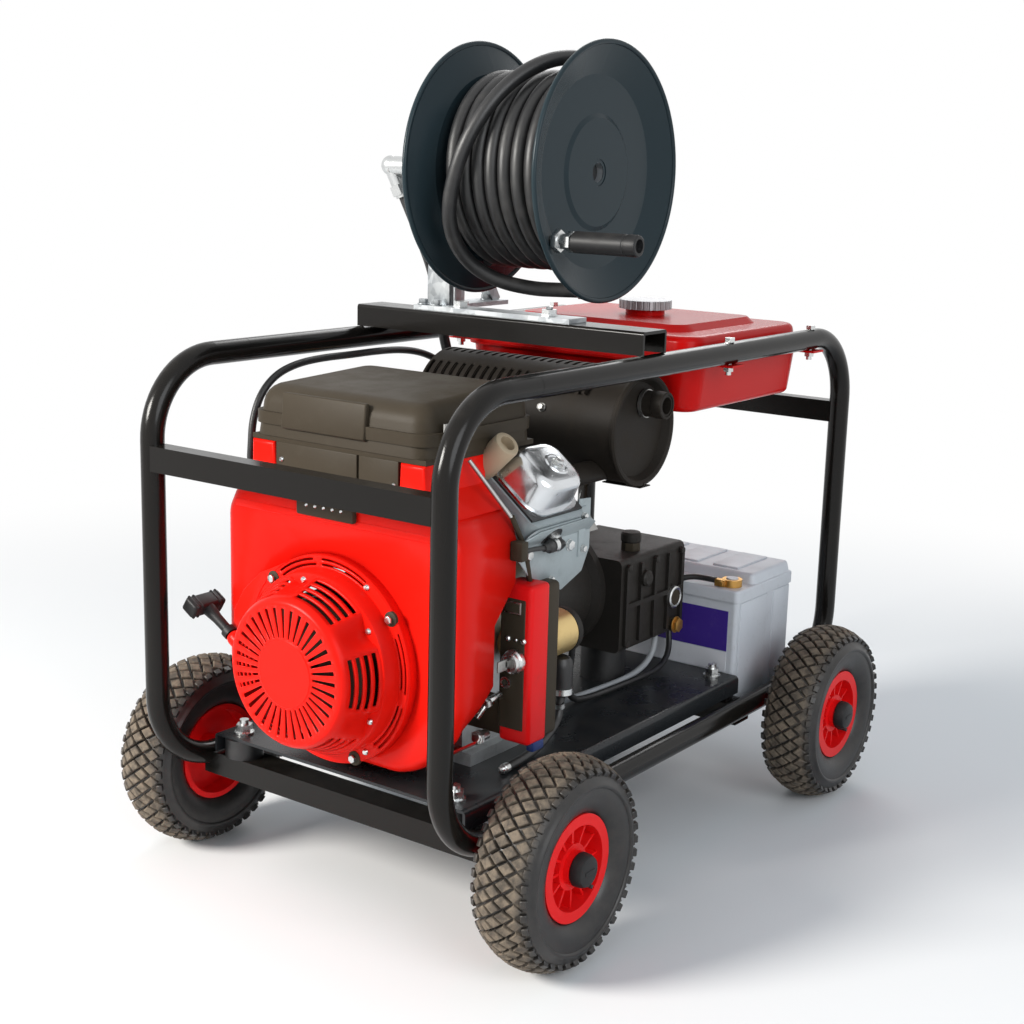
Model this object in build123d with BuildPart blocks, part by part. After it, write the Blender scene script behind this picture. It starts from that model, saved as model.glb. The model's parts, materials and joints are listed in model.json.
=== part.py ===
"""Gas pressure washer: engine, plunger pump, battery, fuel tank and hose reel in a wheeled tube frame.

Millimetres, +Z up. The engine's hand starter faces -Y and the key switch is on the +X side.
The origin is on the floor under the middle of the frame.
"""
import os
from math import cos, pi, radians, sin, sqrt, tan

from build123d import *

os.makedirs("parts", exist_ok=True)

# Clearances
weld_gap = 0.2  # between frame members that are welded together
seat_gap = 0.2  # between pieces that rest on or are bolted to each other
run_gap = 0.05  # radial clearance of a turning fit
side_gap = 0.4  # beside a turning piece
bolt_gap = 0.4  # radial clearance of a bolt in its hole

# Frame tubes
tube_od = 30.0
tube_wall = 2.5
loop_half_length = 489.0
loop_low = 154.0
loop_high = 685.0
loop_bend = 100.0
loop_seam_y = -330.0
loop_seam = 0.6
crossbar_z = 565.0
crossbar_height = 32.0
crossbar_depth = 25.0
cross_wall = 2.5
lower_cross_width = 40.0
lower_cross_height = 30.0
lower_cross_rise = 6.0  # top of the lower cross tubes above the middle of the bottom rails

# Engine tray on rubber mounts
mount_r = 25.0
mount_height = 26.0
mount_inset = 32.0  # of the mounts from the tray's sides
mount_front_y = -390.0
mount_rear_y = 227.0
tray_rail_gap = 7.0  # between the tray's sides and the rails
tray_front = -412.0
tray_rear = 252.0
tray_plate = 4.0
tray_drop = 26.0
stud_r = 6.0
stud_tail = 6.0
washer_r = 13.0
washer_thickness = 2.5
nut_across = 19.0
nut_height = 10.0

# Wheels and axles
tyre_r = 130.0
tyre_half_width = 40.0
tyre_wall = 7.0
bead_r = 62.0
bead_half_width = 26.0
bead_depth = 4.0
wheel_offset = 66.0  # of the wheels' middle from the side loops
wheel_front_y = -347.0
wheel_rear_y = 354.0
axle_r = 10.0
hub_r = 21.0
hub_inboard = 34.0
hub_outboard = 30.0
rim_lip = 3.3
rim_web = 10.0
rim_band_r = 52.0  # inside of the flat outer band
rim_flange_r = 28.0
rim_flange_depth = 17.0
rim_rib_count = 12
rim_rib = 3.0
axle_tail = 12.0
axle_cap_r = 17.0
axle_cap_wall = 2.0
axle_collar_r = 17.0
saddle_length = 44.0
saddle_thickness = 12.0
saddle_foot = 5.0

# Battery and its shelf
shelf_thickness = 3.0
shelf_clear = 1.0  # between the rear axle and the shelf
battery_rail_gap = 17.0  # between the battery and the right rail
battery_length = 253.0
battery_front = 253.5
battery_depth = 171.5
battery_case = 156.0
battery_lid = 18.0
battery_lip = 3.0
battery_crown = 16.0
battery_crown_set_back = 48.0
post_r = 9.0
post_height = 13.0
post_set_in = 23.0
clamp_wall = 6.0
clamp_height = 11.0
clamp_lug = 16.0
cable_r = 4.5

# Engine
crank_rise = 145.0  # crank axis above the tray
crank_r = 20.0
case_front = -296.0
case_rear = -112.0
case_half_width = 112.0
case_foot_half_width = 126.0
case_foot = 16.0
bank_angle = 38.0  # each cylinder's lean from the vertical
bank_right_y = -228.0
bank_left_y = -180.0
deck_distance = 105.0
deck_half = 60.0
barrel_r = 48.0
fin_count = 8
fin_pitch = 10.5
fin_thickness = 2.6
fin_length = 116.0
fin_width = 112.0
head_low = 195.0
head_height = 67.0
head_length = 112.0
head_width = 110.0
valve_cover_length = 102.0
valve_cover_width = 90.0
valve_cover_flange = 6.0
valve_cover_dome = 40.0
valve_cover_corner = 30.0
valve_cover_round = 18.0
baffle_thickness = 2.0
baffle_length = 118.0

# Fan shroud and hand starter
shroud_front = -410.0
shroud_wall = 2.5
shroud_half_width = 188.0
shroud_low = 205.0
shroud_shoulder = 495.0
shroud_top = 530.0
shroud_ear_in = 100.0
shroud_ear_out = 138.0
shroud_cut_x = 150.0  # where the cut behind its right side begins, which leaves room for the key
shroud_cut = (
    (-285, 440), (-296.5, 440), (-336, 395), (-336, 320), (-362, 297), (-398, 278), (-398, 190), (-285, 190),
)
starter_ring_r = 131.0
starter_ring_depth = 14.0
starter_step_r = 115.0
starter_step_depth = 22.0
starter_cap_r = 90.0
starter_cap_foot_r = 109.0
starter_cap_depth = 51.0
starter_wall = 3.0
starter_slot_count = 36
starter_slot_mid_r = 62.0
starter_slot_length = 36.0
starter_slot_width = 4.6
side_slot_count = 4  # one behind another in each sector of the cap's wall
side_slot = 5.0
side_slot_pitch = 10.0
side_slot_sectors = (-14, 50, 112, 173, 233, 284)  # where each begins, in degrees from +X by way of +Z
ring_slot_sectors = (-6, 62, 99, 150, 215, 312)  # the same for the narrow slots of the ring behind it
sector_angle = 30.0
ring_slot = 2.6
pulley_r = 80.0
pulley_width = 18.0
pulley_y = -438.0
pulley_pin_r = 8.0
rope_r = 3.0
rope_length = 44.0
pull_tilt = 32.3  # of the starter rope above the horizontal
guide_x = -148.0
guide_rise = 6.0
guide_r = 10.0
guide_length = 52.0
lobe_start = 118  # of the plate behind the guide, in degrees from +X by way of +Z
lobe_end = 198
lobe_outline = ((-158, 322), (-161, 346), (-157, 370), (-141, 398), (-112, 425))
handle_neck_r = 6.0
handle_reach = 58.0
handle_bar_r = 10.0
handle_bar_length = 54.0
fan_r = 98.0
fan_plate = 8.0
fan_blade_count = 16
fan_blade_depth = 62.0
fan_blade = 4.0
fan_front = -398.0

# Air cleaner and carburettor
air_half_width = 140.0
air_front = -410.0
air_rear = -195.0
air_low = 597.0
air_high = 667.0
air_wall = 3.0
air_case_half_width = 90.0
air_case_low = 545.0
air_flange = 6.0
air_groove = 2.0
filter_half_width = 104.0
filter_height = 46.0
filter_inset = 34.0
clip_y = -372.0
clip_width = 26.0
clip_height = 44.0
clip_thickness = 2.5
clip_pin_r = 2.5
carb_half_width = 28.0
carb_front = -292.0
carb_rear = -206.0
carb_low = 492.0
lever_pin_r = 4.0
lever_length = 30.0
lever_width = 14.0
lever_thickness = 4.0

# Control box, starter motor and leads
box_left = 164.0
box_width = 46.0
box_depth = 68.0
box_low = 235.0
box_height = 202.0
box_panel = 2.0
key_z = 342.0
key_r = 7.0
key_inset = 20.5  # from the outer side of the box
key_bow = 22.0
motor_r = 30.0
motor_rear = -148.0
motor_length = 80.0
boot_r = 12.5
boot_height = 56.0
boot_y = -135.0
drain_r = 6.0
drain_x = 150.0
plug_boot_r = 9.0
plug_boot_length = 19.0
plug_elbow = 30.0
lead_r = 3.0

# Muffler
muffler_r = 73.0
muffler_wall = 2.5
muffler_left = -155.0
muffler_right = 177.0
muffler_y = 0.0
muffler_z = 588.0
muffler_rim = 5.0
outlet_r = 14.0
outlet_length = 26.0
outlet_y = 14.0
outlet_z = 622.0
pipe_r = 15.0
pipe_wall = 2.0
pipe_x = 135.0
pipe_z = 535.0
guard_gap = 6.0
guard_thickness = 2.0
guard_left = -150.0
guard_right = 122.0
guard_slot_count = 20
guard_slot = 6.0
guard_half_chord = 62.0

# Pump
bell_r = 96.0
bell_rear = 60.0
bell_bore_r = 50.0
pump_left = -45.0
pump_right = 115.0
pump_rear = 236.0
pump_low = 250.0
pump_high = 386.0
pump_shaft_depth = 60.0
pump_rib_count = 5
pump_rib = 7.0
pump_rib_depth = 5.0
head_block = 90.0
head_block_inset = 10.0
head_block_low = 266.0
head_block_high = 364.0
inlet_r = 9.3
inlet_depth = 20.0
unloader_r = 15.0
unloader_height = 52.0
unloader_y = 92.0
knob_r = 20.0
knob_height = 28.0
oil_cap_r = 14.0
oil_cap_y = 130.0
sight_r = 13.0
sight_y = 198.0
sight_z = 308.0
drain_plug_r = 11.0
drain_plug_y = 205.0
drain_plug_z = 264.0
support_r = 33.0
support_x = 50.0
support_y = 122.0

# Fuel tank hung under the top rails
tank_x = 5.0
tank_front = 85.0
tank_length = 390.0
tank_depth = 327.0
tank_rail_gap = 8.0  # between the tank's seam flange and the rail beside it
tank_corner = 36.0
tank_low = 600.0
tank_high = 705.0
tank_crown = 9.0
tank_flange = 7.0
tank_sheet = 3.0
tank_wall = 12.0
tank_bolt_front = 127.0
tank_bolt_rear = 372.0
tank_bolt_r = 4.0
tank_ear_width = 32.0
filler_x = 20.0
filler_y = 248.0
filler_r = 29.0
filler_bore_r = 24.0
filler_height = 8.0
cap_r = 39.0
cap_height = 13.0
cap_ridge_count = 28

# Hose reel on its channel
channel_overhang = 5.0  # past the middle of each rail
channel_front = -105.0
channel_width = 56.0
channel_height = 30.0
channel_wall = 4.0
reel_y = -50.0
reel_rise = 190.5  # reel axis above the top of the channel
base_thickness = 6.0
base_half_length = 118.0
base_width = 40.0
base_leg_left = -140.0
base_leg_width = 42.0
base_leg_rear = 65.0
post_left = -138.0
post_width = 38.0
post_depth = 30.0
post_above = 24.0
strut_r = 8.0
reel_axle_r = 17.0
reel_axle_bore_r = 12.0
stand_bolt_x = 73.0
stand_bolt_r = 5.0
drum_left = -44.0
drum_right = 119.0
drum_r = 75.0
drum_wall = 3.0
disc_sheet = 2.0
disc_step = 3.0
disc_step_r = 68.0
disc_flat_r = 122.0
disc_flare = 18.0
disc_r = 165.0
disc_bead_r = 3.5
crank_pin_r = 6.0
crank_pin_y = -105.6  # from the reel axis
crank_pin_z = -82.5
crank_collar_r = 10.0
crank_collar = 30.0
grip_r = 13.5
grip_length = 93.0
swivel_r = 13.0
swivel_reach = 84.0
swivel_arm = 46.0

# Hoses
hose_r = 9.5
hose_gap = 0.5
hose_pitch = 20.2
hose_turns = 7
hose_coil_r = 118.0
coupling_length = 24.0
coupling_bore_r = 7.4
coupling_depth = 14.0
feed_r = 7.5
feed_rail_gap = 17.0  # between the feed hose and the left rail
fuel_line_r = 5.0
fuel_rail_gap = 4.0
valve_r = 10.0
valve_inset = 90.0  # of the fuel valve from the middle of the left rail
valve_y = 165.0
valve_drop = 27.0

# Places worked out from the sizes above
tube_r = tube_od / 2
tank_y = tank_front + tank_depth / 2
loop_half_width = tank_x + tank_length / 2 + tank_flange + tank_rail_gap + tube_r
rail_side = loop_half_width - tube_r
tray_half_width = rail_side - tray_rail_gap
mount_x = tray_half_width - mount_inset
wheel_x = loop_half_width + wheel_offset
battery_right = rail_side - battery_rail_gap
channel_half_length = loop_half_width + channel_overhang
valve_x = valve_inset - loop_half_width
rail_top = loop_high + tube_r
rail_under = loop_high - tube_r
lower_cross_top = loop_low + lower_cross_rise
tray_under = lower_cross_top + mount_height
tray_top = tray_under + tray_plate
crank_z = tray_top + crank_rise
axle_z = tyre_r
shelf_top = axle_z + axle_r + shelf_clear + shelf_thickness
battery_left = battery_right - battery_length
battery_low = shelf_top + seat_gap
battery_shoulder = battery_low + battery_case
battery_top = battery_shoulder + battery_lid
channel_under = rail_top + weld_gap
channel_top = channel_under + channel_height
channel_mid = channel_front + channel_width / 2
base_low = channel_top + seat_gap
base_top = base_low + base_thickness
reel_z = channel_top + reel_rise
head_top = head_low + head_height
tank_seam = rail_under - seat_gap
shroud_rear = case_front - seat_gap
shroud_ear_top = air_low - air_flange - 3 * seat_gap
box_front = shroud_rear + seat_gap
key_x = box_left + box_width - key_inset


def finish(piece, label):
    """Name a finished piece and write its file."""
    piece.part.label = label
    export_step(piece.part, f"parts/{label}.step")


def front_plane(y):
    """The plane at this y that faces -Y, with X to the right and Z up."""
    return Plane(origin=(0, y, 0), x_dir=(1, 0, 0), z_dir=(0, -1, 0))


def side_plane(x):
    """The plane at this x that faces +X, with Y to the right and Z up."""
    return Plane(origin=(x, 0, 0), x_dir=(0, 1, 0), z_dir=(1, 0, 0))


def along(start, direction):
    """The plane at start whose normal is this direction."""
    return Plane(origin=start, z_dir=direction)


def cord_path(points):
    """Straight runs joined by tangent arcs as large as the runs allow, and the arcs' radii."""
    radii = []
    for before, corner, after in zip(points, points[1:], points[2:]):
        run_in = Vector(*corner) - Vector(*before)
        run_out = Vector(*after) - Vector(*corner)
        half_turn = radians(run_in.get_angle(run_out)) / 2
        radii.append(0.45 * min(run_in.length, run_out.length) / tan(half_turn))
    return FilletPolyline(*points, radius=radii), radii


def report_cord(label, piece, path, radii, radius):
    """Print a cord's length, its arcs and how its volume compares with its section times its length."""
    share = piece.part.volume / (pi * radius**2 * path.length)
    print(label, "length", round(path.length), "radii", [round(r) for r in radii])
    print(label, "volume share", round(share, 3))


def loop_line_start(x):
    """Where the tube of the loop at this x begins, at the seam in its top rail."""
    return (x, loop_seam_y + loop_seam / 2, loop_high)


def loop_line(x):
    """The centreline of the loop at this x, from one side of its seam round to the other."""
    return FilletPolyline(
        loop_line_start(x),
        (x, loop_half_length, loop_high),
        (x, loop_half_length, loop_low),
        (x, -loop_half_length, loop_low),
        (x, -loop_half_length, loop_high),
        (x, loop_seam_y - loop_seam / 2, loop_high),
        radius=loop_bend,
    )


# Side loops, each one bent tube with its seam in the top rail
for side, label in ((1, "side_loop_right"), (-1, "side_loop_left")):
    loop_x = side * loop_half_width
    with BuildPart() as side_loop:
        with BuildLine() as loop_route:
            loop_line(loop_x)
        with BuildSketch(along(loop_line_start(loop_x), (0, 1, 0))):
            Circle(tube_r)
            Circle(tube_r - tube_wall, mode=Mode.SUBTRACT)
        sweep(path=loop_route.wire())
        with Locations((loop_x, tank_bolt_front, loop_high), (loop_x, tank_bolt_rear, loop_high)):
            Cylinder(tank_bolt_r + bolt_gap, tube_od + 2, mode=Mode.SUBTRACT)
    finish(side_loop, label)

# Crossbars between the uprights and cross tubes between the bottom rails, shaped to the tubes at their ends
with BuildPart() as cross_members:
    for y in (-loop_half_length, loop_half_length):
        with Locations((0, y, crossbar_z)):
            Box(2 * loop_half_width, crossbar_depth, crossbar_height)
            Box(
                2 * loop_half_width,
                crossbar_depth - 2 * cross_wall,
                crossbar_height - 2 * cross_wall,
                mode=Mode.SUBTRACT,
            )
    for y in (mount_front_y, mount_rear_y):
        with Locations((0, y, lower_cross_top - lower_cross_height / 2)):
            Box(2 * loop_half_width, lower_cross_width, lower_cross_height)
            Box(
                2 * loop_half_width,
                lower_cross_width - 2 * cross_wall,
                lower_cross_height - 2 * cross_wall,
                mode=Mode.SUBTRACT,
            )
    for loop_x in (-loop_half_width, loop_half_width):
        with BuildLine() as cut_route:
            loop_line(loop_x)
        with BuildSketch(along(loop_line_start(loop_x), (0, 1, 0))):
            Circle(tube_r + weld_gap)
        sweep(path=cut_route.wire(), mode=Mode.SUBTRACT)
finish(cross_members, "cross_members")

# Engine tray: a plate with its long sides folded down, drilled for the mounts' studs
mount_places = [(x, y) for x in (-mount_x, mount_x) for y in (mount_front_y, mount_rear_y)]
with BuildPart() as engine_tray:
    with BuildSketch(front_plane(tray_front)):
        with Locations((0, tray_top - tray_drop / 2)):
            tray_outline = Rectangle(2 * tray_half_width, tray_drop)
        fillet(tray_outline.vertices().group_by(Axis.Y)[-1], tray_plate + 3)
        with Locations((0, tray_under - tray_drop / 2)):
            Rectangle(2 * (tray_half_width - tray_plate), tray_drop, mode=Mode.SUBTRACT)
    extrude(amount=-(tray_rear - tray_front))
    with Locations(*[(x, y, tray_under) for x, y in mount_places]):
        Cylinder(stud_r + bolt_gap, 4 * tray_plate, mode=Mode.SUBTRACT)
finish(engine_tray, "engine_tray")

# Rubber mounts under the tray, and the taller pad that holds up the pump
support_height = pump_low - tray_top - 2 * seat_gap
with BuildPart() as rubber_mounts:
    for x, y in mount_places:
        with BuildSketch(Plane.XY.offset(lower_cross_top + seat_gap)):
            with Locations((x, y)):
                Circle(mount_r)
                Circle(stud_r + bolt_gap, mode=Mode.SUBTRACT)
        extrude(amount=mount_height - 2 * seat_gap)
    with BuildSketch(Plane.XY.offset(tray_top + seat_gap)):
        with Locations((support_x, support_y)):
            Circle(support_r)
    extrude(amount=support_height)
finish(rubber_mounts, "rubber_mounts")

# Axles: a rod with a collar beside each wheel and a saddle plate up to each bottom rail
hub_in = wheel_x - hub_inboard
hub_out = wheel_x + hub_outboard
axle_end = hub_out + side_gap + axle_tail
with BuildPart() as axles:
    for y in (wheel_front_y, wheel_rear_y):
        with Locations((0, y, axle_z)):
            Cylinder(axle_r, 2 * axle_end, rotation=(0, 90, 0))
        collar_in = loop_half_width - saddle_thickness / 2
        collar_length = hub_in - side_gap - collar_in
        for side in (-1, 1):
            with Locations((side * (collar_in + collar_length / 2), y, axle_z)):
                Cylinder(axle_collar_r, collar_length, rotation=(0, 90, 0))
            saddle_low = axle_z - axle_r - saddle_foot
            with Locations((side * loop_half_width, y, (saddle_low + loop_low) / 2)):
                Box(saddle_thickness, saddle_length, loop_low - saddle_low)
    with Locations((-loop_half_width, 0, loop_low), (loop_half_width, 0, loop_low)):
        Cylinder(tube_r + weld_gap, 2 * loop_half_length, rotation=(90, 0, 0), mode=Mode.SUBTRACT)
finish(axles, "axles")

# Wheels: a hollow tyre held between the lips of a ribbed rim
wheel_places = {
    "front_right": (1, wheel_front_y),
    "front_left": (-1, wheel_front_y),
    "rear_right": (1, wheel_rear_y),
    "rear_left": (-1, wheel_rear_y),
}
shoulder_r = tyre_r - 11
shoulder_half_width = tyre_half_width - 7
bulge_r = (bead_r + tyre_r) / 2 - 4
bead_top = bead_r + bead_depth
barrel_out_r = bead_r - seat_gap
lip_in = bead_half_width + seat_gap
lip_r = bead_top - 2 * seat_gap
for place, (side, y) in wheel_places.items():
    wheel_plane = Plane(origin=(side * wheel_x, y, axle_z), x_dir=(side, 0, 0), z_dir=(0, -side, 0))
    wheel_axis = Axis((side * wheel_x, y, axle_z), (1, 0, 0))
    with BuildPart() as tyre:
        with BuildSketch(wheel_plane):
            with BuildLine():
                Polyline(
                    (-bead_half_width, bead_top),
                    (-bead_half_width, bead_r),
                    (tyre_wall - bead_half_width, bead_r),
                )
                ThreePointArc(
                    (tyre_wall - bead_half_width, bead_r),
                    (tyre_wall - tyre_half_width, bulge_r),
                    (tyre_wall - shoulder_half_width, shoulder_r - tyre_wall),
                )
                ThreePointArc(
                    (tyre_wall - shoulder_half_width, shoulder_r - tyre_wall),
                    (0, tyre_r - tyre_wall),
                    (shoulder_half_width - tyre_wall, shoulder_r - tyre_wall),
                )
                ThreePointArc(
                    (shoulder_half_width - tyre_wall, shoulder_r - tyre_wall),
                    (tyre_half_width - tyre_wall, bulge_r),
                    (bead_half_width - tyre_wall, bead_r),
                )
                Polyline(
                    (bead_half_width - tyre_wall, bead_r),
                    (bead_half_width, bead_r),
                    (bead_half_width, bead_top),
                )
                ThreePointArc(
                    (bead_half_width, bead_top),
                    (tyre_half_width, bulge_r),
                    (shoulder_half_width, shoulder_r),
                )
                ThreePointArc(
                    (shoulder_half_width, shoulder_r),
                    (0, tyre_r),
                    (-shoulder_half_width, shoulder_r),
                )
                ThreePointArc(
                    (-shoulder_half_width, shoulder_r),
                    (-tyre_half_width, bulge_r),
                    (-bead_half_width, bead_top),
                )
            make_face()
        revolve(axis=wheel_axis)
    finish(tyre, f"tyre_{place}")

    with BuildPart() as rim:
        with BuildSketch(wheel_plane):
            with BuildLine():
                Polyline(
                    (lip_in + rim_lip, lip_r),
                    (lip_in, lip_r),
                    (lip_in, barrel_out_r),
                    (-lip_in, barrel_out_r),
                    (-lip_in, lip_r),
                    (-lip_in - rim_lip, lip_r),
                    (-lip_in - rim_lip, barrel_out_r - rim_lip),
                    (-rim_web / 2, barrel_out_r - rim_lip - 2),
                    (-rim_web / 2, hub_r),
                    (-hub_inboard, hub_r),
                    (-hub_inboard, axle_r + run_gap),
                    (hub_outboard, axle_r + run_gap),
                    (hub_outboard, hub_r),
                    (rim_web / 2 + rim_flange_depth, hub_r),
                    (rim_web / 2 + rim_flange_depth, rim_flange_r),
                    (rim_web / 2, rim_flange_r + 1),
                    (rim_web / 2, rim_band_r - 1),
                    (lip_in + rim_lip, rim_band_r),
                    close=True,
                )
            make_face()
        revolve(axis=wheel_axis)
        rib_length = rim_band_r - rim_flange_r + 2
        face = Plane(origin=wheel_plane.origin, x_dir=(0, 1, 0), z_dir=(side, 0, 0)).offset(rim_web / 2 - 1)
        with BuildSketch(face):
            with PolarLocations((rim_flange_r + rim_band_r) / 2, rim_rib_count):
                Rectangle(rib_length, rim_rib)
        extrude(amount=rim_flange_depth)
    finish(rim, f"rim_{place}")

# Battery shelf between the bottom rails
with BuildPart() as battery_shelf:
    shelf_front = mount_rear_y + lower_cross_width / 2 + weld_gap
    shelf_rear = battery_front + battery_depth + battery_lip
    with Locations((0, (shelf_front + shelf_rear) / 2, shelf_top - shelf_thickness / 2)):
        Box(2 * loop_half_width, shelf_rear - shelf_front, shelf_thickness)
    with Locations((-loop_half_width, 0, loop_low), (loop_half_width, 0, loop_low)):
        Cylinder(tube_r + weld_gap, 2 * loop_half_length, rotation=(90, 0, 0), mode=Mode.SUBTRACT)
finish(battery_shelf, "battery_shelf")

# Battery: case, overhanging lid, raised rear of the lid and two posts
battery_mid_x = battery_right - battery_length / 2
battery_mid_y = battery_front + battery_depth / 2
post_y = battery_front + post_set_in
post_places = [(battery_right - post_set_in, post_y), (battery_left + post_set_in, post_y)]
with BuildPart() as battery:
    with BuildSketch(Plane.XY.offset(battery_low)):
        with Locations((battery_mid_x, battery_mid_y)):
            RectangleRounded(battery_length, battery_depth, 7)
    extrude(amount=battery_case)
    with BuildSketch(Plane.XY.offset(battery_shoulder)):
        with Locations((battery_mid_x, battery_mid_y)):
            RectangleRounded(battery_length + 2 * battery_lip, battery_depth + 2 * battery_lip, 9)
    extrude(amount=battery_lid)
    fillet(battery.faces().sort_by(Axis.Z)[-1].edges(), 3)
    crown_depth = battery_depth - battery_crown_set_back
    with BuildSketch(Plane.XY.offset(battery_top)):
        with Locations((battery_mid_x, battery_front + battery_crown_set_back + crown_depth / 2)):
            RectangleRounded(battery_length, crown_depth, 10)
    extrude(amount=battery_crown, taper=14)
    fillet(battery.faces().sort_by(Axis.Z)[-1].edges(), 6)
    with BuildSketch(Plane.XY.offset(battery_top)):
        with Locations(*post_places):
            Circle(post_r)
    extrude(amount=post_height)
finish(battery, "battery")

# Crankcase: a block with two sloped decks, a foot on the tray and the bore for the crankshaft
lean = radians(bank_angle)
deck_middle = (deck_distance * sin(lean), deck_distance * cos(lean))
deck_low = (deck_middle[0] + deck_half * cos(lean), deck_middle[1] - deck_half * sin(lean))
deck_high = (deck_middle[0] - deck_half * cos(lean), deck_middle[1] + deck_half * sin(lean))
with BuildPart() as crankcase:
    with BuildSketch(front_plane(case_front)):
        with BuildLine():
            Polyline(
                (case_half_width, tray_top + seat_gap),
                (deck_low[0], crank_z + deck_low[1]),
                (deck_high[0], crank_z + deck_high[1]),
                (-deck_high[0], crank_z + deck_high[1]),
                (-deck_low[0], crank_z + deck_low[1]),
                (-case_half_width, tray_top + seat_gap),
                close=True,
            )
        make_face()
    extrude(amount=-(case_rear - case_front))
    with BuildSketch(front_plane(case_front)):
        with Locations((0, tray_top + seat_gap + case_foot / 2)):
            Rectangle(2 * case_foot_half_width, case_foot)
    extrude(amount=-(case_rear - case_front))
    with Locations((0, (case_front + case_rear) / 2, crank_z)):
        Cylinder(crank_r + run_gap, case_rear - case_front, rotation=(90, 0, 0), mode=Mode.SUBTRACT)
finish(crankcase, "crankcase")

# Cylinders: finned barrel and head on each deck, with a sheet baffle on the outer side
banks = [(1, bank_right_y), (-1, bank_left_y)]


def bank_plane(side, y):
    """The plane across a cylinder at the crank axis: local x along Y, local z up the bore."""
    return Plane(origin=(0, y, crank_z), x_dir=(0, 1, 0), z_dir=(side * sin(lean), 0, cos(lean)))


plug_height = head_low + head_height * 0.62
baffle_low = deck_distance + 14
baffle_high = head_top - 4
with BuildPart() as cylinders:
    for side, y in banks:
        bank = bank_plane(side, y)
        with BuildSketch(bank.offset(deck_distance + seat_gap)):
            Circle(barrel_r)
        extrude(amount=head_low - deck_distance - seat_gap)
        for i in range(fin_count):
            with BuildSketch(bank.offset(deck_distance + fin_pitch / 2 + i * fin_pitch)):
                RectangleRounded(fin_length, fin_width, 12)
            extrude(amount=fin_thickness)
        with BuildSketch(bank.offset(head_low)):
            RectangleRounded(head_length, head_width, 14)
        extrude(amount=head_height)
        outward = Plane(origin=bank.origin, x_dir=(0, 1, 0), z_dir=(side * cos(lean), 0, -sin(lean)))
        baffle_plane = outward.offset(fin_width / 2 + seat_gap)
        with BuildSketch(baffle_plane):
            with Locations((0, side * (baffle_low + baffle_high) / 2)):
                RectangleRounded(baffle_length, baffle_high - baffle_low, 18)
            with Locations((0, side * plug_height)):
                Circle(plug_boot_r + 3, mode=Mode.SUBTRACT)
        extrude(amount=baffle_thickness)
finish(cylinders, "cylinders")

# Valve covers: a flange and a domed cap on each head
with BuildPart() as valve_covers:
    for side, y in banks:
        bank = bank_plane(side, y)
        up = Axis(bank.origin, bank.z_dir)
        with BuildSketch(bank.offset(head_top + seat_gap)):
            RectangleRounded(valve_cover_length, valve_cover_width, valve_cover_corner)
        extrude(amount=valve_cover_flange)
        with BuildSketch(bank.offset(head_top + seat_gap + valve_cover_flange)):
            RectangleRounded(valve_cover_length - 10, valve_cover_width - 10, valve_cover_corner - 2)
        extrude(amount=valve_cover_dome, taper=9)
        fillet(valve_covers.faces(Select.LAST).sort_by(up)[-1].edges(), valve_cover_round)
finish(valve_covers, "valve_covers")

# Fan shroud: a deep pan, open at the back, with a round opening for the hand starter and two upper ears
shroud_half = [
    (112, shroud_low),
    (152, shroud_low + 18),
    (shroud_half_width, shroud_low + 72),
    (shroud_half_width, shroud_shoulder),
    (shroud_half_width - 16, shroud_top - 4),
    (shroud_ear_out + 1, shroud_top + 26),
    (shroud_ear_out, shroud_ear_top),
    (shroud_ear_in, shroud_ear_top),
    (shroud_ear_in - 2, shroud_top + 6),
]
shroud_outline = shroud_half + [(-x, z) for x, z in reversed(shroud_half)]
with BuildPart() as fan_shroud:
    with BuildSketch(front_plane(shroud_front)):
        with BuildLine():
            Polyline(*shroud_outline, close=True)
        make_face()
    extrude(amount=-(shroud_rear - shroud_front))
    fillet(fan_shroud.edges().filter_by(Axis.Y), 8)
    fillet(fan_shroud.faces().sort_by(Axis.Y)[0].edges(), 7)
    with BuildSketch(front_plane(shroud_front + shroud_wall)):
        with BuildLine():
            Polyline(*shroud_outline, close=True)
        make_face()
        offset(amount=-shroud_wall, kind=Kind.INTERSECTION)
    extrude(amount=-(shroud_rear - shroud_front), mode=Mode.SUBTRACT)
    with BuildSketch(front_plane(shroud_front)):
        with Locations((0, crank_z)):
            Circle(starter_ring_r - 6)
    extrude(amount=-2 * shroud_wall, mode=Mode.SUBTRACT)
    with BuildSketch(Plane.YZ.offset(shroud_cut_x)):
        with BuildLine():
            Polyline(*shroud_cut, close=True)
        make_face()
    extrude(amount=shroud_half_width, mode=Mode.SUBTRACT)
finish(fan_shroud, "fan_shroud")

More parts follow.
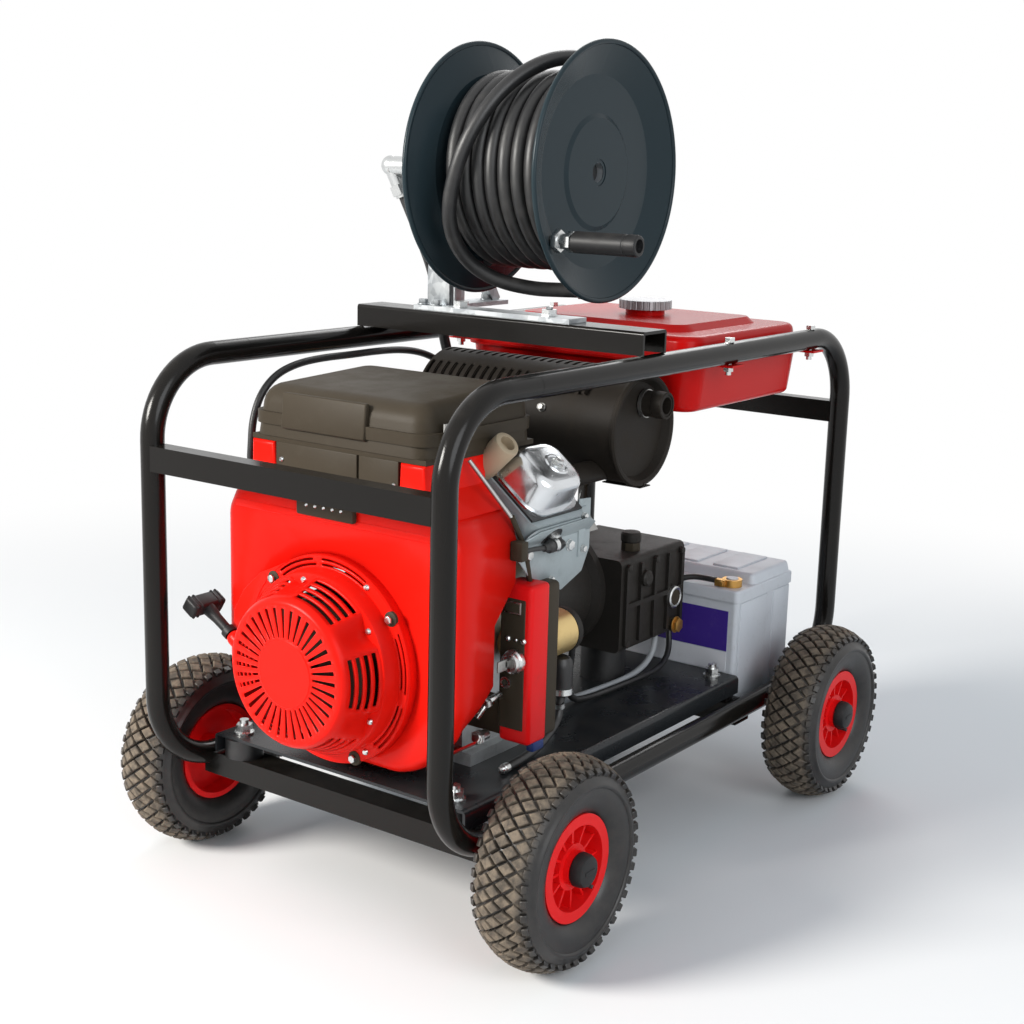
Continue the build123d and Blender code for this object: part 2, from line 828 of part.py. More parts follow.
# Recoil cover: two round steps and a slotted cap, with the pin of the rope pulley and the rope's guide
ring_y = shroud_front - starter_ring_depth
step_y = ring_y - starter_step_depth
cap_y = step_y - starter_cap_depth
pull = Vector(-cos(radians(pull_tilt)), 0, sin(radians(pull_tilt)))
guide_mouth = Vector(guide_x, pulley_y, crank_z + guide_rise)
guide_root = guide_mouth - pull * guide_length
with BuildPart() as recoil_cover:
    with BuildSketch(Plane.YZ):
        with BuildLine():
            Polyline(
                (shroud_front - seat_gap, crank_z + starter_ring_r),
                (ring_y, crank_z + starter_ring_r - 2),
                (ring_y, crank_z + starter_step_r),
                (step_y, crank_z + starter_step_r - 3),
                (step_y, crank_z + starter_cap_foot_r),
                (cap_y, crank_z + starter_cap_r),
                (cap_y, crank_z),
                (cap_y + starter_wall, crank_z),
                (cap_y + starter_wall, crank_z + starter_cap_r - starter_wall),
                (step_y + starter_wall, crank_z + starter_cap_foot_r - starter_wall),
                (step_y + starter_wall, crank_z + starter_step_r - 3 - starter_wall),
                (ring_y + starter_wall, crank_z + starter_step_r - starter_wall),
                (ring_y + starter_wall, crank_z + starter_ring_r - 2 - starter_wall),
                (shroud_front - seat_gap, crank_z + starter_ring_r - starter_wall),
                close=True,
            )
        make_face()
    revolve(axis=Axis((0, 0, crank_z), (0, 1, 0)))
    lobe_foot = starter_ring_r - starter_wall / 2
    lobe_turns = [radians(angle) for angle in range(lobe_start, lobe_end + 1, 8)]
    with BuildSketch(front_plane(ring_y)):
        with BuildLine():
            Polyline(
                *[(lobe_foot * cos(turn), crank_z + lobe_foot * sin(turn)) for turn in lobe_turns],
                *lobe_outline,
                close=True,
            )
        make_face()
    extrude(amount=seat_gap - starter_ring_depth)
    cap_rim = recoil_cover.edges().filter_by(GeomType.CIRCLE).group_by(Axis.Y)[0]
    fillet(cap_rim, starter_wall * 2)
    with BuildSketch(along(guide_root, pull)):
        Circle(guide_r)
    extrude(amount=guide_length)
    with BuildSketch(along(guide_root - pull * guide_r, pull)):
        Circle(rope_r + 1)
    extrude(amount=guide_length + 2 * guide_r, mode=Mode.SUBTRACT)
    inner_keep = starter_step_r - 3 - starter_wall
    with Locations((0, (step_y + starter_wall + ring_y) / 2 + starter_step_depth / 2, crank_z)):
        Cylinder(inner_keep - 1, 2 * starter_step_depth, rotation=(90, 0, 0), mode=Mode.SUBTRACT)
    pin_end = pulley_y + pulley_width / 2 + side_gap
    with BuildSketch(front_plane(pin_end)):
        with Locations((0, crank_z)):
            Circle(pulley_pin_r)
    extrude(amount=pin_end - cap_y - starter_wall / 2)
    with BuildSketch(front_plane(cap_y)):
        with Locations((0, crank_z)):
            with PolarLocations(starter_slot_mid_r, starter_slot_count):
                SlotOverall(starter_slot_length, starter_slot_width)
    extrude(amount=-2 * starter_wall, mode=Mode.SUBTRACT)
    wall_slope = (starter_cap_foot_r - starter_cap_r) / starter_cap_depth
    first_slot_y = cap_y + (starter_cap_depth - side_slot_count * side_slot_pitch) / 2 + side_slot_pitch / 2
    for i in range(side_slot_count):
        slot_y = first_slot_y + i * side_slot_pitch
        slot_r = starter_cap_r + wall_slope * (slot_y - cap_y) - starter_wall / 2
        with BuildSketch(front_plane(slot_y + side_slot / 2)):
            for start in side_slot_sectors:
                slot_line = CenterArc((0, crank_z), slot_r, start, sector_angle, mode=Mode.PRIVATE)
                SlotArc(slot_line, 4 * starter_wall)
        extrude(amount=side_slot, mode=Mode.SUBTRACT)
    ring_middle = (starter_step_r + starter_ring_r - 2) / 2
    with BuildSketch(front_plane(ring_y)):
        for radius in (ring_middle - ring_slot, ring_middle + ring_slot):
            for start in ring_slot_sectors:
                slot_line = CenterArc((0, crank_z), radius, start, sector_angle, mode=Mode.PRIVATE)
                SlotArc(slot_line, ring_slot)
    extrude(amount=-2 * starter_wall, mode=Mode.SUBTRACT)
finish(recoil_cover, "recoil_cover")

# Rope pulley on the recoil cover's pin
with BuildPart() as recoil_pulley:
    with Locations((0, pulley_y, crank_z)):
        Cylinder(pulley_r, pulley_width, rotation=(90, 0, 0))
        Cylinder(pulley_pin_r + run_gap, pulley_width, rotation=(90, 0, 0), mode=Mode.SUBTRACT)
    with BuildSketch(Plane.YZ):
        with Locations((pulley_y, crank_z + pulley_r)):
            Rectangle(2 * rope_r + 2, 4 * rope_r)
    revolve(axis=Axis((0, 0, crank_z), (0, 1, 0)), mode=Mode.SUBTRACT)
finish(recoil_pulley, "recoil_pulley")

# Starter rope in the guide, and the T-handle that it is tied to
with BuildPart() as recoil_rope:
    with BuildSketch(along(guide_mouth + pull * side_gap - pull * rope_length, pull)):
        Circle(rope_r)
    extrude(amount=rope_length)
finish(recoil_rope, "recoil_rope")

with BuildPart() as recoil_handle:
    with BuildSketch(along(guide_mouth + pull * 2 * side_gap, pull)):
        Circle(handle_neck_r)
    extrude(amount=handle_reach - 2 * side_gap)
    with Locations(guide_mouth + pull * handle_reach):
        Cylinder(handle_bar_r, handle_bar_length, rotation=(90, 0, 0))
    bar_ends = recoil_handle.edges().filter_by(GeomType.CIRCLE).group_by(SortBy.RADIUS)[-1]
    fillet(bar_ends, 3)
finish(recoil_handle, "recoil_handle")

# Crankshaft from the flywheel to the pump, and the bladed flywheel on it
shaft_front = fan_front + fan_blade_depth - 4
shaft_rear = bell_rear + seat_gap + pump_shaft_depth - side_gap
fan_back = fan_front + fan_blade_depth + fan_plate
with BuildPart() as crankshaft:
    with Locations((0, (fan_back + seat_gap + shaft_rear) / 2, crank_z)):
        Cylinder(crank_r, shaft_rear - fan_back - seat_gap, rotation=(90, 0, 0))
    with Locations((0, (shaft_front + fan_back) / 2, crank_z)):
        Cylinder(crank_r / 2, fan_back - shaft_front + 2 * seat_gap, rotation=(90, 0, 0))
finish(crankshaft, "crankshaft")

with BuildPart() as flywheel_fan:
    with Locations((0, fan_back - fan_plate / 2, crank_z)):
        Cylinder(fan_r, fan_plate, rotation=(90, 0, 0))
    with BuildSketch(front_plane(fan_back - fan_plate)):
        with Locations((0, crank_z)):
            with PolarLocations(fan_r - 20, fan_blade_count):
                Rectangle(38, fan_blade, rotation=24)
    extrude(amount=fan_blade_depth)
    with Locations((0, fan_back - fan_plate, crank_z)):
        Cylinder(crank_r / 2 + seat_gap, 4 * fan_plate, rotation=(90, 0, 0), mode=Mode.SUBTRACT)
finish(flywheel_fan, "flywheel_fan")

# Air cleaner: case with a top flange, pleated element on it, and the moulded cover over both
air_mid_y = (air_front + air_rear) / 2
air_depth = air_rear - air_front
flange_top = air_low - seat_gap
with BuildPart() as air_cleaner_case:
    with Locations((0, air_mid_y, (air_case_low + flange_top) / 2)):
        Box(2 * air_case_half_width, air_depth - 10, flange_top - air_case_low)
    fillet(air_cleaner_case.edges().filter_by(Axis.Z), 8)
    with Locations((0, air_mid_y, flange_top - air_flange / 2)):
        Box(2 * air_half_width - 4, air_depth - 4, air_flange)
    with Locations((0, air_mid_y, flange_top)):
        Box(
            2 * (air_case_half_width - air_wall),
            air_depth - 10 - 2 * air_wall,
            2 * (flange_top - air_case_low - air_wall),
            mode=Mode.SUBTRACT,
        )
    clip_pin_x = air_half_width + clip_pin_r + clip_thickness + 1.5 * side_gap
    with Locations((clip_pin_x, clip_y, flange_top - air_flange / 2)):
        Cylinder(clip_pin_r, clip_width + 8, rotation=(90, 0, 0))
    for y in (clip_y - clip_width / 2 - 3, clip_y + clip_width / 2 + 3):
        with Locations(((air_half_width + clip_pin_x) / 2 - 1, y, flange_top - air_flange / 2)):
            Box(clip_pin_x - air_half_width + 6, 4, air_flange)
finish(air_cleaner_case, "air_cleaner_case")

with BuildPart() as filter_element:
    with Locations((0, air_mid_y, air_low + filter_height / 2)):
        Box(2 * filter_half_width, air_depth - 2 * filter_inset, filter_height)
        Box(
            2 * (filter_half_width - filter_inset),
            air_depth - 4 * filter_inset,
            filter_height,
            mode=Mode.SUBTRACT,
        )
finish(filter_element, "filter_element")

with BuildPart() as air_cleaner_cover:
    with BuildSketch(Plane.XY.offset(air_low)):
        with Locations((0, air_mid_y)):
            RectangleRounded(2 * air_half_width, air_depth, 22)
    extrude(amount=air_high - air_low, taper=4)
    fillet(air_cleaner_cover.faces().sort_by(Axis.Z)[-1].edges(), 14)
    with BuildSketch(Plane.XY.offset(air_low)):
        with Locations((0, air_mid_y)):
            RectangleRounded(2 * (air_half_width - air_wall), air_depth - 2 * air_wall, 19)
    extrude(amount=air_high - air_low - 6 * air_wall, taper=4, mode=Mode.SUBTRACT)
    with BuildSketch(Plane.XY.offset(air_low + 14)):
        with Locations((0, air_mid_y)):
            RectangleRounded(2 * air_half_width + 10, air_depth + 10, 24)
            RectangleRounded(
                2 * (air_half_width - air_groove) - 2,
                air_depth - 2 * air_groove - 2,
                20,
                mode=Mode.SUBTRACT,
            )
    extrude(amount=air_groove, mode=Mode.SUBTRACT)
finish(air_cleaner_cover, "air_cleaner_cover")

# Clip that holds the cover down, turning on the case's pin
with BuildPart() as cover_clip:
    with Locations((clip_pin_x, clip_y, flange_top - air_flange / 2)):
        Cylinder(clip_pin_r + clip_thickness, clip_width, rotation=(90, 0, 0))
    with Locations((clip_pin_x, clip_y, flange_top - air_flange / 2 + clip_height / 2)):
        Box(clip_thickness, clip_width, clip_height)
    with Locations((clip_pin_x, clip_y, flange_top - air_flange / 2)):
        Cylinder(clip_pin_r + run_gap, clip_width, rotation=(90, 0, 0), mode=Mode.SUBTRACT)
finish(cover_clip, "cover_clip")

# Carburettor between the cylinders, and its throttle lever on a pin at the back
carb_high = air_case_low - seat_gap
lever_z = (carb_low + carb_high) / 2
with BuildPart() as carburettor:
    with Locations((0, (carb_front + carb_rear) / 2, (carb_low + carb_high) / 2)):
        Box(2 * carb_half_width, carb_rear - carb_front, carb_high - carb_low)
    fillet(carburettor.edges().filter_by(Axis.Y), 6)
    with BuildSketch(front_plane(carb_rear - 2)):
        with Locations((0, lever_z)):
            Circle(lever_pin_r)
    extrude(amount=-(lever_thickness + 2 + 2 * side_gap + 2))
    with BuildSketch(Plane.XY.offset(crank_z + deck_high[1] + seat_gap)):
        with Locations((0, (carb_front + carb_rear) / 2)):
            Circle(carb_half_width / 2)
    extrude(amount=carb_low + 2 - crank_z - deck_high[1] - seat_gap)
finish(carburettor, "carburettor")

with BuildPart() as throttle_lever:
    with BuildSketch(front_plane(carb_rear + side_gap)):
        with Locations((-lever_length / 2, lever_z)):
            SlotOverall(lever_length + lever_width, lever_width)
        with Locations((0, lever_z)):
            Circle(lever_pin_r + run_gap, mode=Mode.SUBTRACT)
    extrude(amount=-lever_thickness)
finish(throttle_lever, "throttle_lever")

# Control box on a bracket from the crankcase, with a key in its front face
box_mid = (box_left + box_width / 2, box_front + box_depth / 2, box_low + box_height / 2)
with BuildPart() as control_box:
    with Locations(box_mid):
        Box(box_width, box_depth, box_height)
    fillet(control_box.edges().filter_by(Axis.Y), 7)
    fillet(control_box.faces().sort_by(Axis.Y)[0].edges(), 3)
    with BuildSketch(front_plane(box_front)):
        with Locations((box_mid[0] - 2, box_mid[2])):
            RectangleRounded(box_width - 16, box_height - 22, 5)
    extrude(amount=-box_panel, mode=Mode.SUBTRACT)
    bracket_in = case_half_width + seat_gap
    with Locations(((bracket_in + box_left + 2) / 2, case_front + 12, box_low + 30)):
        Box(box_left + 2 - bracket_in, 4, 50)
    with Locations((key_x, box_front + box_panel, key_z)):
        Cylinder(key_r + 3, 8, rotation=(90, 0, 0))
        Cylinder(key_r + run_gap, 30, rotation=(90, 0, 0), mode=Mode.SUBTRACT)
finish(control_box, "control_box")

with BuildPart() as ignition_key:
    with BuildSketch(front_plane(box_front + box_panel + 10)):
        with Locations((key_x, key_z)):
            Circle(key_r)
    extrude(amount=18)
    with BuildSketch(front_plane(box_front + box_panel - 8)):
        with Locations((key_x, key_z)):
            Rectangle(4, 12)
    extrude(amount=8)
    with Locations((key_x, box_front + box_panel - 16 - key_bow / 2, key_z)):
        Box(3, key_bow, key_bow)
finish(ignition_key, "ignition_key")

# Starter motor along the right of the crankcase
motor_x = case_half_width + seat_gap + motor_r
motor_z = crank_z
with BuildPart() as starter_motor:
    with Locations((motor_x, motor_rear - motor_length / 2, motor_z)):
        Cylinder(motor_r, motor_length, rotation=(90, 0, 0))
    fillet(starter_motor.edges().filter_by(GeomType.CIRCLE), 3)
    with BuildSketch(front_plane(motor_rear - 1)):
        with Locations((motor_x, motor_z)):
            Circle(10)
    extrude(amount=-8)
finish(starter_motor, "starter_motor")

# Drain hose: elbow and boot at the crankcase, then a hose along the tray to a bright end cap
boot_top = motor_z - motor_r - side_gap
boot_low = boot_top - boot_height
drain_points = [
    (drain_x, boot_y, boot_low - seat_gap),
    (drain_x + 1, boot_y - 2, boot_low - 24),
    (drain_x + 5, boot_y - 22, tray_top + 20),
    (drain_x + 12, boot_y - 62, tray_top + 9),
    (drain_x + 19, boot_y - 104, tray_top + drain_r + 0.5),
    (drain_x + 21, boot_y - 144, tray_top + drain_r + 0.4),
]
with BuildPart() as drain_hose:
    with Locations((drain_x, boot_y, boot_low + boot_height / 2)):
        Cylinder(boot_r, boot_height)
    fillet(drain_hose.edges().filter_by(GeomType.CIRCLE), 3)
    elbow_in = case_half_width + seat_gap
    with Locations(((elbow_in + drain_x) / 2, boot_y, boot_top - 16)):
        Cylinder(8, drain_x - elbow_in, rotation=(0, 90, 0))
    with BuildLine() as drain_route:
        drain_line, drain_radii = cord_path(drain_points)
    with BuildSketch(along(drain_points[0], drain_line % 0)):
        Circle(drain_r)
    sweep(path=drain_route.wire())
    with BuildSketch(along(drain_points[-1], drain_line % 1)):
        Circle(drain_r + 0.3)
    extrude(amount=16)
print("drain_hose length", round(drain_line.length), "radii", [round(r) for r in drain_radii])
finish(drain_hose, "drain_hose")

# Spark plug boots on the outer side of each head, with leads that run in behind the shroud
with BuildPart() as plug_leads:
    for side, y in banks:
        out = Vector(side * cos(lean), 0, -sin(lean))
        seat = Vector(side * sin(lean), 0, cos(lean)) * plug_height + Vector(0, y, crank_z)
        boot_in = seat + out * (head_width / 2 + seat_gap)
        boot_out = boot_in + out * plug_boot_length
        with BuildSketch(along(boot_in, out)):
            Circle(plug_boot_r)
        extrude(amount=plug_boot_length)
        elbow_start = boot_out - out * plug_boot_r * 0.4
        with Locations(elbow_start):
            Sphere(plug_boot_r)
        with BuildSketch(along(elbow_start, (0, -1, 0))):
            Circle(plug_boot_r - 1)
        extrude(amount=plug_elbow)
        lead_start = elbow_start + Vector(0, -plug_elbow, 0)
        lead_side = Vector(side * (shroud_half_width + 15), shroud_rear - 10, lead_start.Z + 4)
        lead_points = [
            lead_start,
            (lead_start + lead_side) * 0.5 + Vector(0, 0, 1.5),
            lead_side,
            lead_side + Vector(-side * 0.3, -24, 1),
            lead_side + Vector(-side * 4, -42, 1.5),
            lead_side + Vector(-side * 12, -58, 1.5),
        ]
        with BuildLine() as lead_route:
            lead_line, lead_radii = cord_path([tuple(p) for p in lead_points])
        with BuildSketch(along(lead_start, lead_line % 0)):
            Circle(lead_r)
        sweep(path=lead_route.wire())
        print("plug lead length", round(lead_line.length), "radii", [round(r) for r in lead_radii])
finish(plug_leads, "plug_leads")

# Muffler: a drum across the machine with a rim at each end and an outlet stub
muffler_axis = Axis((0, muffler_y, muffler_z), (1, 0, 0))
muffler_plane = Plane(origin=(0, muffler_y, muffler_z), x_dir=(1, 0, 0), z_dir=(0, -1, 0))
with BuildPart() as muffler:
    with BuildSketch(muffler_plane):
        with BuildLine():
            Polyline(
                (muffler_left, 0),
                (muffler_left, muffler_r),
                (muffler_right, muffler_r),
                (muffler_right, muffler_r - muffler_rim),
                (muffler_right - 2 * muffler_rim, muffler_r - 2 * muffler_rim),
                (muffler_right - 2 * muffler_rim, 0),
                close=True,
            )
        make_face()
        with BuildLine():
            Polyline(
                (muffler_left + muffler_wall, 0),
                (muffler_left + muffler_wall, muffler_r - muffler_wall),
                (muffler_right - 3 * muffler_rim, muffler_r - muffler_wall),
                (muffler_right - 3 * muffler_rim, 0),
                close=True,
            )
        make_face(mode=Mode.SUBTRACT)
    revolve(axis=muffler_axis)
    with BuildSketch(side_plane(muffler_right - 3 * muffler_rim)):
        with Locations((outlet_y, outlet_z)):
            Circle(outlet_r)
    extrude(amount=3 * muffler_rim + outlet_length)
    with BuildSketch(side_plane(muffler_right - 4 * muffler_rim)):
        with Locations((outlet_y, outlet_z)):
            Circle(outlet_r - muffler_wall)
    extrude(amount=4 * muffler_rim + outlet_length, mode=Mode.SUBTRACT)
finish(muffler, "muffler")

# Guard: a slotted sheet bent over the top of the muffler, standing on two ribs
guard_in_r = muffler_r + guard_gap
guard_out_r = guard_in_r + guard_thickness
guard_z_in = sqrt(guard_in_r**2 - guard_half_chord**2)
guard_z_out = sqrt(guard_out_r**2 - guard_half_chord**2)
with BuildPart() as muffler_guard:
    with BuildSketch(Plane(origin=(guard_left, muffler_y, muffler_z), x_dir=(0, 1, 0), z_dir=(1, 0, 0))):
        with BuildLine():
            ThreePointArc((-guard_half_chord, guard_z_out), (0, guard_out_r), (guard_half_chord, guard_z_out))
            Line((guard_half_chord, guard_z_out), (guard_half_chord, guard_z_in))
            ThreePointArc((guard_half_chord, guard_z_in), (0, guard_in_r), (-guard_half_chord, guard_z_in))
            Line((-guard_half_chord, guard_z_in), (-guard_half_chord, guard_z_out))
        make_face()
    extrude(amount=guard_right - guard_left)
    guard_pitch = (guard_right - guard_left) / guard_slot_count
    with BuildSketch(Plane.XY.offset(muffler_z + guard_out_r + 1)):
        with Locations(((guard_left + guard_right) / 2, muffler_y - guard_half_chord / 2)):
            with GridLocations(guard_pitch, guard_half_chord, guard_slot_count, 2):
                SlotOverall(guard_half_chord * 0.62, guard_slot, rotation=90)
    extrude(amount=-guard_out_r * 0.6, mode=Mode.SUBTRACT)
    for x in (guard_left, guard_right - guard_pitch / 3):
        with BuildSketch(Plane(origin=(x, muffler_y, muffler_z), x_dir=(0, 1, 0), z_dir=(1, 0, 0))):
            Circle(guard_in_r + guard_thickness / 2)
            Circle(muffler_r + seat_gap, mode=Mode.SUBTRACT)
            with Locations((0, -guard_out_r + guard_z_in)):
                Rectangle(3 * guard_out_r, 2 * guard_out_r, mode=Mode.SUBTRACT)
        extrude(amount=guard_pitch / 3)
finish(muffler_guard, "muffler_guard")

# Exhaust pipes from the back of each head to the muffler
with BuildPart() as exhaust_pipes:
    for side, y in banks:
        pipe_start = y + head_length / 2 + seat_gap
        with BuildSketch(front_plane(pipe_start)):
            with Locations((side * pipe_x, pipe_z)):
                Circle(pipe_r)
                Circle(pipe_r - pipe_wall, mode=Mode.SUBTRACT)
        extrude(amount=-(muffler_y - pipe_start))
    with Locations(((muffler_left + muffler_right) / 2, muffler_y, muffler_z)):
        Cylinder(
            muffler_r + weld_gap,
            muffler_right - muffler_left + 20,
            rotation=(0, 90, 0),
            mode=Mode.SUBTRACT,
        )
finish(exhaust_pipes, "exhaust_pipes")

# Pump bell between the engine and the pump
with BuildPart() as pump_bell:
    with BuildSketch(Plane.YZ):
        with BuildLine():
            Polyline(
                (case_rear + seat_gap, crank_z + bell_bore_r),
                (case_rear + seat_gap, crank_z + bell_r),
                (case_rear + 14, crank_z + bell_r),
                (case_rear + 20, crank_z + bell_r - 10),
                (bell_rear - 18, crank_z + bell_r - 18),
                (bell_rear - 12, crank_z + bell_r - 6),
                (bell_rear, crank_z + bell_r - 6),
                (bell_rear, crank_z + bell_bore_r),
                close=True,
            )
        make_face()
    revolve(axis=Axis((0, 0, crank_z), (0, 1, 0)))
finish(pump_bell, "pump_bell")

# Pump crankcase with ribs on its outer face, and the bore that takes the engine's shaft
pump_front = bell_rear + seat_gap
pump_mid = ((pump_left + pump_right) / 2, (pump_front + pump_rear) / 2, (pump_low + pump_high) / 2)
pump_rib_pitch = (pump_rear - pump_front - 24) / (pump_rib_count - 1)
with BuildPart() as pump_case:
    with Locations(pump_mid):
        Box(pump_right - pump_left, pump_rear - pump_front, pump_high - pump_low)
    fillet(pump_case.edges().filter_by(Axis.Y), 9)
    fillet(pump_case.faces().sort_by(Axis.Y)[-1].edges(), 4)
    with BuildSketch(side_plane(pump_right - 1)):
        with Locations((pump_mid[1], pump_mid[2])):
            with GridLocations(pump_rib_pitch, 1, pump_rib_count, 1):
                RectangleRounded(pump_rib, pump_high - pump_low - 20, 3)
            RectangleRounded(pump_rear - pump_front - 20, pump_rib, 3)
        with Locations((sight_y, sight_z)):
            Circle(sight_r + 5)
    extrude(amount=pump_rib_depth + 1)
    with Locations((0, pump_front, crank_z)):
        Cylinder(crank_r + run_gap, 2 * pump_shaft_depth, rotation=(90, 0, 0), mode=Mode.SUBTRACT)
finish(pump_case, "pump_case")

# Pump fittings: oil cap on top, sight glass and drain plug on the outer face
with BuildPart() as pump_fittings:
    with BuildSketch(Plane.XY.offset(pump_high + seat_gap)):
        with Locations((pump_right - 30, oil_cap_y)):
            RegularPolygon(oil_cap_r, 8)
    extrude(amount=12)
    with BuildSketch(side_plane(pump_right + pump_rib_depth + seat_gap)):
        with Locations((sight_y, sight_z)):
            Circle(sight_r)
    extrude(amount=4)
    with BuildSketch(side_plane(pump_right + seat_gap)):
        with Locations((drain_plug_y, drain_plug_z)):
            RegularPolygon(drain_plug_r, 6)
    extrude(amount=7)
finish(pump_fittings, "pump_fittings")

# Pump head on the far side, with its valve caps, the unloader on top and the outlet
head_x_out = pump_left - seat_gap - head_block
outlet_port = (pump_left - head_block * 0.55, pump_rear - 40)
unloader_place = (pump_left - head_block / 2, unloader_y)
knob_low = head_block_high + unloader_height + side_gap
with BuildPart() as pump_head:
    head_block_mid = (head_block_low + head_block_high) / 2
    with Locations((pump_left - seat_gap - head_block / 2, pump_mid[1], head_block_mid)):
        Box(head_block, pump_rear - pump_front - 2 * head_block_inset, head_block_high - head_block_low)
    fillet(pump_head.edges().filter_by(Axis.Y), 6)
    with BuildSketch(Plane(origin=(head_x_out + 1, pump_mid[1], 0), x_dir=(0, -1, 0), z_dir=(-1, 0, 0))):
        with Locations((0, head_block_mid)):
            with GridLocations(48, 44, 3, 2):
                RegularPolygon(15, 6)
    extrude(amount=11)
    with BuildSketch(Plane.XY.offset(head_block_high - 1)):
        with Locations(outlet_port):
            Circle(unloader_r)
    extrude(amount=21)
    with BuildSketch(Plane.XY.offset(head_block_high - 1)):
        with Locations(unloader_place):
            Circle(unloader_r)
    extrude(amount=unloader_height + 1)
    with BuildSketch(Plane.XY.offset(head_block_high)):
        with Locations(unloader_place):
            Circle(crank_pin_r)
    extrude(amount=unloader_height + knob_height)
    with BuildSketch(front_plane(pump_rear - head_block_inset)):
        with Locations((pump_left - head_block * 0.6, head_block_low + 3 * inlet_r)):
            Circle(inlet_r)
    extrude(amount=inlet_depth, mode=Mode.SUBTRACT)
finish(pump_head, "pump_head")

# Pressure knob that turns on the unloader's stem
with BuildPart() as pressure_knob:
    with BuildSketch(Plane.XY.offset(knob_low)):
        with Locations(unloader_place):
            Circle(knob_r)
            Circle(crank_pin_r + run_gap, mode=Mode.SUBTRACT)
            with PolarLocations(knob_r + 2, 9):
                Circle(5, mode=Mode.SUBTRACT)
    extrude(amount=knob_height)
finish(pressure_knob, "pressure_knob")

# Battery cables: a clamp on each post, the black cable and the pale conduit round the pump to the starter
lug_x = post_places[0][0] - 20
lug_y = post_y - post_r - clamp_wall + 1
gap_y = (pump_rear + battery_front - battery_lip) / 2
motor_end = motor_rear + 7 + seat_gap
positive_points = [
    (lug_x, lug_y, battery_top + 8.3),
    (lug_x - 21, lug_y - 0.5, battery_top + 8.8),
    (lug_x - 39, lug_y - 7, battery_top + 8.8),
    (lug_x - 54, gap_y + 3.2, battery_top + 3.8),
    (lug_x - 65, gap_y + 0.3, battery_top - 9),
    (lug_x - 69, gap_y + 0.1, battery_top - 28),
    (lug_x - 68, gap_y, battery_top - 56),
    (lug_x - 63, gap_y - 3.3, battery_top - 82),
    (lug_x - 55, gap_y - 15, battery_top - 103),
    (pump_right - 9, pump_rear - 30, tray_top + 12),
    (pump_right - 7, pump_rear - 66, tray_top + 6),
    (pump_right - 8, pump_rear - 116, tray_top + 5.6),
    (pump_right - 11, pump_rear - 170, tray_top + 5.5),
    (pump_right - 15, pump_rear - 226, tray_top + 5.6),
    (pump_right - 11, pump_rear - 276, tray_top + 16),
    (pump_right - 1, pump_rear - 302, tray_top + 46),
    (motor_x - 14, motor_end + 61, motor_z - 59),
    (motor_x - 3, motor_end + 48, motor_z - 19),
    (motor_x, motor_end + 29, motor_z),
    (motor_x, motor_end, motor_z),
]
conduit_points = [
    (pump_right - 19, pump_rear - 44, pump_low - seat_gap),
    (pump_right - 19, pump_rear - 44, pump_low - 20),
    (pump_right - 19, pump_rear - 56, pump_low - 37),
    (pump_right - 19.5, pump_rear - 78, tray_top + 12),
    (pump_right - 20, pump_rear - 114, tray_top + 6.4),
    (pump_right - 24, pump_rear - 166, tray_top + 5.2),
    (pump_right - 29, pump_rear - 224, tray_top + 5.2),
    (pump_right - 31, pump_rear - 278, tray_top + 8),
    (pump_right - 25, case_rear + 28, tray_top + case_foot + 8),
    (pump_right - 25, case_rear + seat_gap, tray_top + case_foot + 8),
]
with BuildPart() as battery_cables:
    for x, y in post_places:
        with BuildSketch(Plane.XY.offset(battery_top + seat_gap)):
            with Locations((x, y)):
                Circle(post_r + clamp_wall)
            with Locations((x - clamp_lug / 2 - 2, lug_y)):
                Rectangle(clamp_lug + 4, 2 * cable_r + 3)
            with Locations((x, y)):
                Circle(post_r + seat_gap, mode=Mode.SUBTRACT)
        extrude(amount=clamp_height)
    for name, points in (("battery cable", positive_points), ("conduit", conduit_points)):
        with BuildLine() as cable_route:
            cable_line, cable_radii = cord_path(points)
        with BuildSketch(along(points[0], cable_line % 0)):
            Circle(cable_r)
        sweep(path=cable_route.wire())
        print(name, "length", round(cable_line.length), "radii", [round(r) for r in cable_radii])
finish(battery_cables, "battery_cables")

